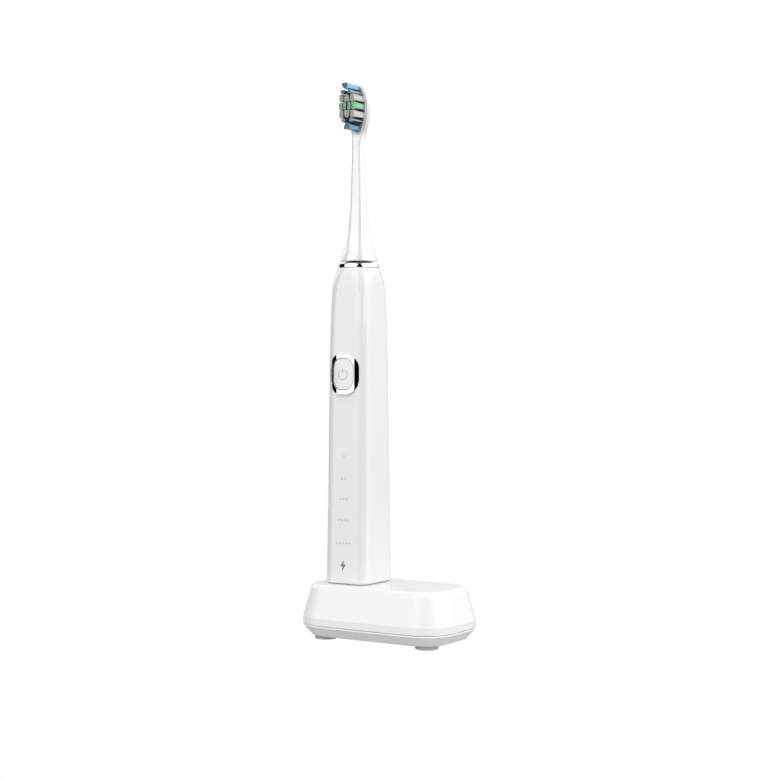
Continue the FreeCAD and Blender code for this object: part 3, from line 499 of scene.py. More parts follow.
post_profile = [(4.9, TOP - 0.05, 0.3, 1)] + [(4.3 + 0.6 - 0.6 * math.sin(math.radians(a)), TOP + 0.6 - 0.6 * math.cos(math.radians(a)), math.sin(math.radians(a)), math.cos(math.radians(a))) for a in (0, 22.5, 45, 67.5, 90)]
post_profile += [(4.3, TOP + 4, 1, 0), (4.3, TOP + 8.0, 1, 0)] + arc_profile(3.3, TOP + 8.0, 1.0, 0, 90, 8)[1:] + [(1.5, TOP + 9, 0, 1), (0.0001, TOP + 9, 0, 1)]
post = lathe("induction_post", post_profile, 64)
finish_piece(post, "charger", M["shell"], "white_gloss")

# grey underside: thin lip, chamfered side, flat underside
profile = [(7.7, 2.3, 0, 1), (7.7, 0.55, 0, 1)] + [(7.7 - 0.2 + 0.2 * math.sin(math.radians(a)), 0.5 - 0.2 * math.cos(math.radians(a)), math.cos(math.radians(a)), math.sin(math.radians(a))) for a in (90, 60, 30, 0)]
profile = list(profile)
profile += [(7.05, 0.3, 1, 0), (7.0, 0.3, 1, 0)]
cs = Vector((5.0, -4.6)).normalized()
profile += [(6.98, 0.32, cs.x, cs.y), (6.0, 1.22, cs.x, cs.y), (4.4, 2.69, cs.x, cs.y), (2.5, 4.42, cs.x, cs.y)]
profile += [(2.3, 4.62, 0.55, -0.84), (2.12, 4.9, 0.35, -0.94), (2.02, 5.3, 0.12, -0.99), (2.0, 5.8, 0, -1)]
v, f, nrm = skin(base_rows(profile), BASE_RING)
f = [tuple(reversed(q)) for q in f]
v = bowed(v)
last = v[-n:]
for k in range(1, 6):
    s = 1 - k / 6
    for x, y, z in last:
        v.append((x * (0.4 + 0.6 * s), y * s, z))
        nrm.append(Vector((0, 0, -1)))
for k in range(5):
    a0 = (len(profile) - 1 + k) * n
    for i in range(n):
        a, b = a0 + i, a0 + (i + 1) % n
        f.append((a + n, b + n, b, a))
f.append(tuple(reversed([(len(profile) - 1 + 5) * n + i for i in range(n)])))
cover = mesh_object("bottom_cover_skin", v, f, nrm)
finish_piece(cover, "charger", M["cover"], "grey_plastic", "base_bottom_cover")

# rubber feet: turned discs with a rounded lower edge and a shallow ring in the sole
lo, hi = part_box("rubber_feet")
fx, fy = hi.x / MM - 5.7, hi.y / MM - 5.7
foot_profile = [(5.7, 2.0, 1, 0), (5.7, 0.6, 1, 0)] + arc_profile(5.1, 0.6, 0.6, 0, -90, 8)[1:] + [(4.4, 0.0, 0, -1), (4.3, 0.12, 0, -1), (3.9, 0.12, 0, -1), (3.8, 0.0, 0, -1), (2.0, 0.0, 0, -1), (0.0001, 0.0, 0, -1)]
FEET = [(fx, -fy), (-fx, -fy), (fx - 3.5, fy), (3.5 - fx, fy)]
for k, (px_, py_) in enumerate(FEET):
    foot = lathe("rubber_foot_%d" % (k + 1), foot_profile[::-1], 64, cx=px_, cy=py_)
    finish_piece(foot, "charger", M["foot"], "foot_rubber", *(["rubber_feet"] if k == 0 else []))

# ------------------------------------------------------------------ handle
HANDLE = [
    (28.2, 12.6, 14.3, 6.0), (60.0, 12.4, 13.75, 6.1), (100.0, 12.2, 13.15, 6.2), (130.0, 12.05, 12.8, 6.3),
    (155.0, 11.85, 12.3, 6.4), (169.0, 11.6, 11.8, 6.6), (177.0, 11.35, 11.4, 7.2), (180.5, 11.1, 11.1, 8.1),
    (183.3, 10.8, 10.8, 9.3), (185.4, 10.4, 10.4, 10.2),
]
hz = [r[0] for r in HANDLE]
HX, HY, HR = (pchip(hz, [r[k] for r in HANDLE]) for k in (1, 2, 3))
H_BOTTOM, H_TOP = 28.2, 185.4


def support(fx_, fy_, fr_, fc_, z, d=0.05):
    """How fast the section grows upwards, for the surface normal."""
    dhx = float(fx_(z + d) - fx_(z - d)) / (2 * d)
    dhy = float(fy_(z + d) - fy_(z - d)) / (2 * d)
    dr = float(fr_(z + d) - fr_(z - d)) / (2 * d)
    dc = float(fc_(z + d) - fc_(z - d)) / (2 * d) if fc_ else 0.0
    return lambda sx, sy, nx, ny: (dhx - dr) * sx * nx + (dhy - dr) * sy * ny + dr + dc * ny


EDGE = 0.9
rows = []
for k in range(9):          # rounded lower edge
    a = math.radians(90 - 90 * k / 8)
    inset = EDGE * (1 - math.cos(a))
    z = H_BOTTOM + EDGE - EDGE * math.sin(a)
    rows.append(dict(z=z, hx=float(HX(z)) - inset, hy=float(HY(z)) - inset, r=float(HR(z)) - inset, n=(math.cos(a), -math.sin(a)), cx=AX))
BZ = (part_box("power_button")[0].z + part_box("power_button")[1].z) / 2 / MM
hole_lo, hole_hi = BZ - 13.0, BZ + 13.0
zs = list(np.linspace(H_BOTTOM + EDGE + 1.2, hole_lo, 30)) + list(np.linspace(hole_lo, hole_hi, 14))[1:] + list(np.linspace(hole_hi, 168, 10))[1:] + list(np.linspace(168, 184.7, 26))[1:]
for z in zs:
    rows.append(dict(z=z, hx=float(HX(z)), hy=float(HY(z)), r=float(HR(z)), n=(support(HX, HY, HR, None, z), 0), cx=AX))
j_lo = 9 + 29
j_hi = j_lo + 13
# small rounding at the housing's upper edge
for k in range(1, 6):
    a = math.radians(8 + 82 * k / 5)
    rad = 0.7
    z = 184.7 + rad * math.sin(a) - rad * math.sin(math.radians(8))
    inset = rad * (math.cos(math.radians(8)) - math.cos(a))
    z = min(z, H_TOP)
    rows.append(dict(z=z, hx=float(HX(184.7)) - inset, hy=float(HY(184.7)) - inset, r=float(HR(184.7)) - inset, n=(math.cos(a), math.sin(a)), cx=AX))
rows.append(dict(z=rows[-1]["z"], hx=7.2, hy=7.2, r=7.15, n=(0, 1), cx=AX))
v, f, nrm = skin(rows)
n = len(RR)
# the ring starts at the front's right end; find the columns on the front flat
front = [i for i, (sx, sy, nx, ny) in enumerate(RR) if ny < -0.999 and abs(nx) < 1e-6]
cols = [i for i, (sx, sy, nx, ny) in enumerate(RR) if sy < 0 and ny < -0.80]
ordered = sorted(cols, key=lambda i: v[j_lo * n + i][0])
inside_cols = set()
for a, b in zip(ordered[:-1], ordered[1:]):
    inside_cols.add(frozenset((a, b)))
keep = []
for q in f:
    j = min(q) // n
    ids = frozenset((q[0] % n, q[1] % n))
    if j_lo <= j < j_hi and ids in inside_cols and len(q) == 4:
        continue
    keep.append(q)
f = keep


def front_surface(x, z):
    """The handle's front face at x beside the axis and height z: depth y and the normal."""
    hx, hy, r = float(HX(z)), float(HY(z)), float(HR(z))
    g = support(HX, HY, HR, None, z)
    if abs(x) <= hx - r:
        y, nx, ny = -hy, 0.0, -1.0
    else:
        dx = abs(x) - (hx - r)
        nx = math.copysign(min(dx / r, 0.9999), x)
        ny = -math.sqrt(max(0.0, 1 - nx * nx))
        y = -(hy - r) + r * ny
    sx = math.copysign(1, x) if abs(x) > hx - r else x / max(hx - r, 1e-6)
    return y, Vector((nx, ny, -g(sx, -1, nx, ny))).normalized()


# boundary loop of the removed patch, anticlockwise seen from the front, then rings to the button's opening
loop = [j_lo * n + i for i in ordered] + [j * n + ordered[-1] for j in range(j_lo + 1, j_hi)] + [j_hi * n + i for i in reversed(ordered)] + [j * n + ordered[0] for j in range(j_hi - 1, j_lo, -1)]


def squircle_point(a, hx, hz_, r):
    """Where a ray at angle a from the centre meets a rounded rectangle."""
    c, s = math.cos(a), math.sin(a)
    lo_, hi_ = 0.0, hx + hz_
    for _ in range(40):
        m_ = (lo_ + hi_) / 2
        qx, qz = abs(c) * m_ - (hx - r), abs(s) * m_ - (hz_ - r)
        dist = math.hypot(max(qx, 0), max(qz, 0)) + min(max(qx, qz), 0) - r
        if dist > 0:
            hi_ = m_
        else:
            lo_ = m_
    return c * lo_, s * lo_


prev = loop
steps = 5
for k in range(1, steps + 1):
    cur = []
    for idx in loop:
        x, z = v[idx][0] - AX, v[idx][2] - BZ
        a = math.atan2(z, x)
        hx_, hz_ = squircle_point(a, 5.95, 8.05, 5.0)
        t = k / steps
        px, pz = x + (hx_ - x) * t, z + (hz_ - z) * t
        y, nn = front_surface(px, BZ + pz)
        cur.append(len(v))
        v.append((AX + px, y, BZ + pz))
        nrm.append(nn)
    m_ = len(loop)
    for i in range(m_):
        f.append((prev[i], prev[(i + 1) % m_], cur[(i + 1) % m_], cur[i]))
    prev = cur
wall = []
for idx in prev:
    x, y, z = v[idx]
    wall.append(len(v))
    v.append((x, -11.2, z))
    nrm.append(Vector((-(x - AX), 0, -(z - BZ))).normalized())
for i in range(len(prev)):
    f.append((prev[i], prev[(i + 1) % len(prev)], wall[(i + 1) % len(prev)], wall[i]))
# lower opening: a short inner wall behind the rounded edge
base0 = len(v)
inner_rows = [dict(z=H_BOTTOM, hx=10.85, hy=12.55, r=4.25, n=(0, -1), cx=AX), dict(z=H_BOTTOM + 2.6, hx=10.8, hy=12.5, r=4.2, n=(-1, 0), cx=AX)]
iv, if_, inr = skin(inner_rows)
v += iv
nrm += inr
for i in range(n):
    a, b = i, (i + 1) % n
    f.append((b, a, base0 + a, base0 + b))
    f.append((base0 + b, base0 + a, base0 + n + a, base0 + n + b))
housing = mesh_object("handle_housing_skin", v, f, nrm)
finish_piece(housing, "handle", M["handle"], "white_satin", "handle_housing")

# chrome trim ring: slightly conical band with a rolled upper edge
ring_profile = [(9.9, 185.42, 0, -1), (10.25, 185.42, 0, -1), (10.33, 185.5, 1, 0)]
for k in range(9):
    t = k / 8
    ring_profile.append((10.33 - 0.05 * t * t - 0.01 * t, 185.52 + 1.5 * t, 1, 0.008 + 0.045 * t))
ring_profile += arc_profile(9.85, 187.05, 0.42, 6, 90, 8) + [(9.0, 187.47, 0, 1), (7.35, 187.48, 0, 1), (7.35, 186.0, -1, 0)]
ring_ob = lathe("trim_ring_chrome", ring_profile, 128)
finish_piece(ring_ob, "handle", M["chrome"], "chrome", "top_trim_ring")
seal_profile = [(6.98, 185.0, 1, 0), (6.98, 187.8, 1, 0)] + arc_profile(6.6, 187.8, 0.38, 0, 90, 6)[1:] + [(2.6, 188.18, 0, 1), (2.3, 187.9, -0.6, 0.8), (1.95, 187.3, -1, 0.3)]
seal = lathe("shaft_seal_skin", seal_profile, 96)
finish_piece(seal, "handle", M["seal"], "seal_rubber", "shaft_seal")


# bezel and button: profiles swept round a rounded rectangle on the front
def swept_front(name, profile, cap=None, ring=None):
    """profile: (half width, half height, corner, y, outward share, forward share)."""
    ring = ring or rounded_rect(24, 8)
    n_ = len(ring)
    verts, faces, normals = [], [], []
    for hx, hh, r, y, no, nf in profile:
        for sx, sy, nx, ny in ring:
            verts.append((AX + sx * (hx - r) + r * nx, y, BZ + sy * (hh - r) + r * ny))
            normals.append(Vector((nx * no, -nf, ny * no)).normalized())
    for j in range(len(profile) - 1):
        for i in range(n_):
            a, b = j * n_ + i, j * n_ + (i + 1) % n_
            faces.append((a, b, b + n_, a + n_))
    if cap == "front":
        faces.append(tuple((len(profile) - 1) * n_ + i for i in range(n_)))
    return verts, faces, normals


W0, H0, R0 = 8.45, 10.15, 7.3
W1, H1, R1 = 5.9, 7.9, 4.95
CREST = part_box("button_bezel")[0].y / MM      # foremost line of the bezel


def bulge(x):
    """The bezel and the button share one upright curved front: flat in the middle, turning away at the sides."""
    ax = abs(x)
    return CREST + 0.00278 * ax**3.17, 0.00278 * 3.17 * ax**2.17 * (1 if x >= 0 else -1)


def curved_ring(name, steps_, cap_depth=None):
    """A frame or a cap that follows the curved front. Each step is (half width, half height, corner, how deep below the curve,
    outward share, forward share); a number in place of the depth's share puts the loop in a flat plane."""
    ring = rounded_rect(24, 10)
    n_ = len(ring)
    verts, faces, normals = [], [], []
    for hx, hh, r, depth, no, nf, plane_y in steps_:
        for sx, sy, nx, ny in ring:
            x, z = sx * (hx - r) + r * nx, sy * (hh - r) + r * ny
            y, slope = bulge(x)
            verts.append((AX + x, min(y + depth, -12.3) if plane_y is None and name == "button_bezel_chrome" else (y + depth if plane_y is None else plane_y), BZ + z))
            front = Vector((slope, -1, 0)).normalized()
            out = Vector((nx, 0, ny))
            out = (out - front * out.dot(front)).normalized() if plane_y is None else out
            normals.append((out * no + front * nf).normalized() if plane_y is None else Vector((nx * no, -nf, ny * no)).normalized())
    for j in range(len(steps_) - 1):
        for i in range(n_):
            a_, b_ = j * n_ + i, j * n_ + (i + 1) % n_
            faces.append((a_, b_, b_ + n_, a_ + n_))
    if cap_depth is not None:
        # fill with ever smaller loops that stay on the curve
        hx, hh, r = steps_[-1][:3]
        k_ = 9
        base_ = (len(steps_) - 1) * n_
        for q in range(1, k_):
            sc = 1 - q / k_
            for sx, sy, nx, ny in ring:
                x, z = (sx * (hx - r) + r * nx) * sc, (sy * (hh - r) + r * ny) * sc
                y, slope = bulge(x)
                verts.append((AX + x, y + cap_depth, BZ + z))
                normals.append(Vector((slope, -1, 0)).normalized())
            for i in range(n_):
                a_, b_ = base_ + (q - 1) * n_ + i, base_ + (q - 1) * n_ + (i + 1) % n_
                faces.append((a_, b_, b_ + n_, a_ + n_))
        faces.append(tuple(base_ + (k_ - 1) * n_ + i for i in range(n_)))
    return mesh_object(name, verts, faces, normals)


prof = [(W0, H0, R0, 0, 1, 0, -12.11)]
prof.append((W0, H0, R0, 0.12, 1, 0, None))
for k in range(1, 5):
    a = math.radians(90 * k / 4)
    i_ = 0.06 * (1 - math.cos(a))
    prof.append((W0 - i_, H0 - i_, R0 - i_, 0.12 - 0.06 * math.sin(a), math.cos(a), math.sin(a), None))
for t in (0.03, 0.15, 0.3, 0.45, 0.6, 0.75, 0.9, 0.985):
    w_, h_, r_ = (W0 - 0.06) + (W1 + 0.10 - W0 + 0.06) * t, (H0 - 0.06) + (H1 + 0.10 - H0 + 0.06) * t, (R0 - 0.06) + (R1 + 0.10 - R0 + 0.06) * t
    prof.append((w_, h_, r_, 0.05, 0, 1, None))
for k in range(1, 5):
    a = math.radians(90 * k / 4)
    i_ = 0.10 * math.sin(a)
    prof.append((W1 + 0.10 - i_, H1 + 0.10 - i_, R1 + 0.10 - i_, 0.05 + 0.10 * (1 - math.cos(a)), -math.sin(a), math.cos(a), None))
prof.append((W1, H1, R1, 0, -1, 0, -12.7))
prof.append((W1, H1, R1, 0, -1, 0, -12.11))
bezel = curved_ring("button_bezel_chrome", prof)
finish_piece(bezel, "handle", M["chrome"], "chrome", "button_bezel")

BW, BH, BR = 5.68, 7.68, 4.72
SINK = 0.12
prof = [(BW, BH, BR, 0, 1, 0, -10.9), (BW, BH, BR, 0, 1, 0, -12.9), (BW, BH, BR, SINK + 0.25, 1, 0, None)]
for k in range(1, 6):
    a = math.radians(90 * k / 5)
    i_ = 0.22 * (1 - math.cos(a))
    prof.append((BW - i_, BH - i_, BR - i_, SINK + 0.22 - 0.22 * math.sin(a), math.cos(a), math.sin(a), None))
cap = curved_ring("power_button_cap", prof, cap_depth=SINK)
finish_piece(cap, "button", M["button"], "button_plastic", "power_button")


# ------------------------------------------------------------------ printed marks, thin inlays on the surface
ink_soft = moulded("mat_mark_grey", (0.56, 0.56, 0.575), 0.4, vary=0.02)
ink_dark = moulded("mat_bolt_grey", (0.20, 0.20, 0.21), 0.4, vary=0.04)
ink_icon = moulded("mat_icon_grey", (0.50, 0.50, 0.51), 0.4, vary=0.02)


def inlay(name, polygons, surface, material, body, lift=0.02):
    """Flat filled outlines laid on a surface; polygons are lists of (x, z) in millimetres beside the axis."""
    verts, faces = [], []
    for poly in polygons:
        s = len(verts)
        area = sum(poly[i][0] * poly[(i + 1) % len(poly)][1] - poly[(i + 1) % len(poly)][0] * poly[i][1] for i in range(len(poly)))
        if area < 0:
            poly = list(reversed(poly))
        for x, z in poly:
            y = surface(x, z)
            verts.append((AX + x, y - lift, z))
        for x, z in poly:
            y = surface(x, z)
            verts.append((AX + x, y + 0.05, z))
        k = len(poly)
        faces.append(tuple(s + i for i in range(k)))
        for i in range(k):
            faces.append((s + i, s + k + i, s + k + (i + 1) % k, s + (i + 1) % k))
    ob = mesh_object(name, verts, faces, None, smooth=False)
    finish_piece(ob, body, material, "grey_plastic")
    return ob


def pill(x0, x1, z, h, k=8):
    r = h / 2
    pts = [(x1 - r + r * math.cos(a), z + r * math.sin(a)) for a in np.linspace(-math.pi / 2, math.pi / 2, k)]
    pts += [(x0 + r + r * math.cos(a), z + r * math.sin(a)) for a in np.linspace(math.pi / 2, 1.5 * math.pi, k)]
    return pts


def arc_band(cx, cz, r, w, a0, a1, k=40):
    out = [(cx + (r + w / 2) * math.cos(math.radians(a)), cz + (r + w / 2) * math.sin(math.radians(a))) for a in np.linspace(a0, a1, k)]
    out += [(cx + (r - w / 2) * math.cos(math.radians(a)), cz + (r - w / 2) * math.sin(math.radians(a))) for a in np.linspace(a1, a0, k)]
    return out


handle_front = lambda x, z: front_surface(x, z)[0]
marks = []
for zc_, count in ((91.6, 1), (80.4, 2), (70.2, 3), (59.8, 4), (48.4, 5)):
    pitch = 1.9
    x0 = -(count - 1) * pitch / 2
    for k in range(count):
        cx_ = x0 + k * pitch
        marks.append([(cx_ + 0.55 * math.cos(a), zc_ + 0.55 * math.sin(a)) for a in np.linspace(0, 2 * math.pi, 20, endpoint=False)])
inlay("mode_marks", marks, handle_front, ink_soft, "handle")
bz_ = 37.3
bolt = [(0.55, 2.9), (-1.65, -0.35), (-0.25, -0.35), (-0.65, -2.9), (1.65, 0.55), (0.25, 0.55)]
inlay("charge_bolt", [[(x, bz_ + z) for x, z in bolt]], handle_front, ink_dark, "handle")
button_front = lambda x, z: bulge(x)[0] + SINK
inlay("power_symbol", [arc_band(0, BZ - 0.2, 2.62, 0.42, 90 + 38, 450 - 38), [(-0.21, BZ + 0.5), (0.21, BZ + 0.5), (0.21, BZ + 2.75), (-0.21, BZ + 2.75)]], button_front, ink_icon, "button", lift=0.012)

# ------------------------------------------------------------------ brush head
NECK = [
    # z, half width, front y, back y, corner
    (188.5, 9.3, -9.3, 9.3, 9.2), (191.0, 8.65, -8.65, 8.65, 8.2), (194.0, 7.4, -7.4, 7.4, 6.5), (197.0, 6.35, -6.35, 6.35, 5.2),
    (200.0, 5.6, -5.6, 5.6, 4.2), (204.0, 4.9, -4.9, 4.9, 3.5), (210.0, 4.4, -4.4, 4.4, 3.0), (217.0, 3.85, -3.85, 3.85, 2.6),
    (230.0, 3.45, -3.45, 3.45, 2.3), (243.0, 3.12, -3.1, 3.12, 2.1), (248.0, 3.12, -2.95, 3.1, 2.0), (251.0, 3.45, -2.5, 3.02, 1.9),
    (253.5, 4.05, -2.0, 2.9, 1.7), (256.0, 4.75, -1.72, 2.7, 1.55), (259.0, 5.45, -1.7, 2.55, 1.5), (262.0, 6.0, -1.7, 2.5, 1.5),
    (265.0, 6.3, -1.7, 2.5, 1.5), (268.0, 6.1, -1.7, 2.5, 1.5), (270.5, 5.6, -1.7, 2.48, 1.5), (272.7, 4.85, -1.68, 2.42, 1.45),
    (274.5, 3.95, -1.6, 2.3, 1.35), (276.0, 2.95, -1.45, 2.1, 1.2), (277.1, 1.95, -1.15, 1.8, 1.0), (277.8, 1.05, -0.65, 1.3, 0.65),
    (278.05, 0.35, 0.0, 0.65, 0.3),
]
nz = [r[0] for r in NECK]
NX, NF, NB, NR = (pchip(nz, [r[k] for r in NECK]) for k in (1, 2, 3, 4))
NHY = lambda z: (NB(z) - NF(z)) / 2
NCY = lambda z: (NB(z) + NF(z)) / 2
rows = [dict(z=188.5, hx=3.6, hy=3.6, r=3.55, n=(0, -1), cx=AX)]
for k in range(6):
    a = math.radians(90 - 90 * k / 5)
    i_ = 0.45 * (1 - math.cos(a))
    z = 188.5 + 0.45 - 0.45 * math.sin(a)
    rows.append(dict(z=z, hx=9.3 - i_, hy=9.3 - i_, r=9.2 - i_, n=(math.cos(a), -math.sin(a)), cx=AX))
zs = list(np.linspace(189.2, 210, 30)) + list(np.linspace(210, 248, 30))[1:] + list(np.linspace(248, 274, 44))[1:] + list(np.linspace(274, 278.05, 20))[1:]
for z in zs:
    rows.append(dict(z=z, hx=float(NX(z)), hy=float(NHY(z)), r=float(NR(z)), n=(support(NX, NHY, NR, NCY, min(z, 277.9)), 0), cx=AX, cy=float(NCY(z))))
v, f, nrm = skin(rows, close_top=True)
neck = mesh_object("brush_neck_skin", v, f, nrm)
# painted shade on the head: the plate's front is darkened between the tufts' roots, and the sides get a darker band
# behind the tufts, fading towards the back and the tip
roots = []
for (x, y, z), nn in zip(v, nrm):
    inside = min(1.0, max(0.0, (float(NX(min(max(z, 188.5), 278.05))) - 0.5 - abs(x - AX)) / 1.7))
    ends = min(1.0, max(0.0, (z - 251.5) / 2.5)) * min(1.0, max(0.0, (276.4 - z) / 1.6))
    front_, back_ = float(NF(min(max(z, 188.5), 278.05))), float(NB(min(max(z, 188.5), 278.05)))
    beside = 0.40 * min(1.0, max(0.0, (277.5 - z) / 7.0)) * max(0.0, 1.0 - (y - front_) / max(0.1, 0.6 * (back_ - front_)))
    roots.append(ends * (max(inside, beside) if nn.y < -0.8 else beside))
point_values(neck, "roots", roots)
finish_piece(neck, "brush_head", M["head"], "head_white", "brush_neck")

# ------------------------------------------------------------------ bristles, strand by strand
PLATE = -1.7


def poly_inside(x, z, poly):
    inside = False
    k = len(poly)
    for i in range(k):
        (x0, z0), (x1, z1) = poly[i], poly[(i + 1) % k]
        if (z0 > z) != (z1 > z) and x < (x1 - x0) * (z - z0) / (z1 - z0) + x0:
            inside = not inside
    return inside


def tuft(verts, faces, depth, centre, root_poly, tip_poly, y_tip, rng, facing, dia=0.20, pitch=0.205, scatter=0.04, crown=0.10):
    """Strands fill the outline of a tuft; each runs from its place in the root outline to the same place in the tip outline.
    facing names the sides (l, r, u, d) that look into a narrow gap, where hardly any light gets in."""
    cx_, cz_ = centre
    xs = [p[0] for p in tip_poly]
    zs_ = [p[1] for p in tip_poly]
    w, h = (max(xs) - min(xs)) / 2, (max(zs_) - min(zs_)) / 2
    mx, mz = (max(xs) + min(xs)) / 2, (max(zs_) + min(zs_)) / 2
    rx = (max(p[0] for p in root_poly) - min(p[0] for p in root_poly)) / 2
    rz = (max(p[1] for p in root_poly) - min(p[1] for p in root_poly)) / 2
    rmx = (max(p[0] for p in root_poly) + min(p[0] for p in root_poly)) / 2
    rmz = (max(p[1] for p in root_poly) + min(p[1] for p in root_poly)) / 2
    row = 0
    z = -h + dia / 2
    sides = 6
    while z <= h - dia / 2 + 1e-6:
        x = -w + dia / 2 + (pitch / 2 if row % 2 else 0)
        while x <= w - dia / 2 + 1e-6:
            if poly_inside(mx + x, mz + z, tip_poly):
                jx, jz = rng.uniform(-1, 1) * scatter, rng.uniform(-1, 1) * scatter
                tx, tz = mx + x + jx, mz + z + jz
                bx, bz = rmx + x / w * (rx - dia / 2), rmz + z / h * (rz - dia / 2)
                edge = max(abs(x) / w, abs(z) / h)
                tip = y_tip + crown * edge**3 + rng.uniform(0, 0.08)
                reach = pitch * 1.15
                # painted shade: strands on a side that faces a narrow gap get a darkness value, stored as the points'
                # 'depth', which the filament material turns nearly black
                dark = 0.0
                for side, ox, oz in (("l", -reach, 0), ("r", reach, 0), ("u", 0, reach), ("d", 0, -reach)):
                    if side in facing and not poly_inside(mx + x + ox, mz + z + oz, tip_poly):
                        dark = 1.0
                s = len(verts)
                # the last number of each level fades the painted shade out towards the tip
                levels = [(0.0, 1.0, 1.0), (0.55, 1.0, 0.96), (0.90, 1.0, 0.85), (0.955, 1.0, 0.45), (0.985, 0.80, 0.05), (1.0, 0.35, 0.0)]
                for t, k, dk in levels:
                    y = PLATE + 0.05 + (tip - PLATE - 0.05) * t
                    bend = math.sin(t * math.pi) * 0.2
                    px = cx_ + bx + (tx - bx) * t + bend * jx
                    pz = cz_ + bz + (tz - bz) * t + bend * jz
                    for q in range(sides):
                        a = 2 * math.pi * (q + 0.5 * (row % 2)) / sides
                        verts.append((AX + px + dia / 2 * k * math.cos(a), y, pz + dia / 2 * k * math.sin(a)))
                        depth.append(dark * dk)
                for j in range(len(levels) - 1):
                    for q in range(sides):
                        a, b = s + j * sides + q, s + j * sides + (q + 1) % sides
                        faces.append((a, b, b + sides, a + sides))
                faces.append(tuple(s + (len(levels) - 1) * sides + q for q in range(sides)))
            x += pitch
        z += pitch * 0.866
        row += 1


def rrect_poly(w, h, r, k=5):
    out = []
    for sx, sz, a0 in ((1, 1, 0), (-1, 1, 90), (-1, -1, 180), (1, -1, 270)):
        for i in range(k + 1):
            a = math.radians(a0 + 90 * i / k)
            out.append((sx * (w / 2 - r) + r * math.cos(a), sz * (h / 2 - r) + r * math.sin(a)))
    return out


def shield(w, h, up=True, k=8):
    """A pointed shield: flat on one side and drawn to a rounded point on the other."""
    s = 1 if up else -1
    pts = [(-w / 2, -s * h * 0.32), (-w / 2, s * 0.0)]
    pts = [(-w / 2 + 0.15, -h / 2), (w / 2 - 0.15, -h / 2), (w / 2, -h / 2 + 0.25), (w / 2, h * 0.02), (w * 0.30, h * 0.34), (w * 0.12, h / 2), (-w * 0.12, h / 2), (-w * 0.30, h * 0.34), (-w / 2, h * 0.02), (-w / 2, -h / 2 + 0.25)]
    return [(x, z * s) for x, z in pts]


# the tip colours (the _TIP constants and the second colour given to filament in GROUPS) are painted light and shade on
# the tufts' end faces: darker than the sides for the blue, grey-blue and white tufts, paler for the green
BLUE, BLUE_TIP = (0.48, 0.73, 0.93), (0.05, 0.19, 0.31)
BLUE2 = (0.27, 0.55, 0.80)
THIN, THIN_TIP = (0.58, 0.74, 0.87), (0.15, 0.28, 0.39)
PALE, PALE_TIP = (0.85, 0.845, 0.84), (0.66, 0.63, 0.62)
GREEN, GREEN_TIP = (0.42, 0.82, 0.54), (0.52, 0.73, 0.60)
SIDE = 2.45
GROUPS = [
    # name, slot, CAD node, material, rows of tufts: (z, tip y, [(x centre, root w, root h, tip w, tip h, shape)])
    ("bristles_front_blue", "bristle_blue", "bristles_tip_blue", filament("mat_bristle_blue", BLUE, BLUE_TIP, -12.88, PLATE),
     [(274.8, -12.85, [(0, 3.2, 3.1, 3.6, 3.5, "power")])]),
    ("bristles_heel_blue", "bristle_blue", None, filament("mat_bristle_heel_blue", BLUE2, (0.14, 0.36, 0.50), -10.98, PLATE),
     [(255.4, -10.95, [(0, 3.7, 3.0, 3.9, 3.3, "heel")])]),
    ("bristles_thin_upper", "bristle_grey_blue", "bristles_thin_blue", filament("mat_bristle_thin_upper", THIN, THIN_TIP, -11.98, PLATE),
     [(272.1, -11.95, [(-2.1, 2.0, 2.0, 2.1, 2.0, "round"), (2.1, 2.0, 2.0, 2.1, 2.0, "round")])]),
    ("bristles_thin_lower", "bristle_grey_blue", None, filament("mat_bristle_thin_lower", (0.60, 0.69, 0.80), (0.42, 0.51, 0.63), -10.98, PLATE),
     [(258.2, -10.95, [(-2.3, 2.0, 2.1, 2.2, 2.1, "round"), (2.3, 2.0, 2.1, 2.2, 2.1, "round")])]),
    ("bristles_pale", "bristle_white", "bristles_white", filament("mat_bristle_white", PALE, PALE_TIP, -10.98, PLATE),
     [(269.2, -11.0, [(-3.35, 2.4, 3.5, SIDE, 3.8, "block"), (0, 3.0, 3.4, 3.1, 3.8, "shield_up"), (3.35, 2.4, 3.5, SIDE, 3.8, "block")]),
      (261.2, -11.0, [(-3.35, 2.4, 3.5, SIDE, 3.8, "block"), (0, 3.0, 3.4, 3.1, 3.8, "shield_down"), (3.35, 2.4, 3.5, SIDE, 3.8, "block")])]),
    ("bristles_mint", "bristle_green", "bristles_green", filament("mat_bristle_green", GREEN, GREEN_TIP, -10.98, PLATE),
     [(265.2, -11.0, [(-3.75, 2.0, 3.5, 2.1, 3.85, "block"), (-1.33, 1.65, 3.5, 1.75, 3.85, "block"), (1.33, 1.65, 3.5, 1.75, 3.85, "block"), (3.75, 2.0, 3.5, 2.1, 3.85, "block")])]),
]
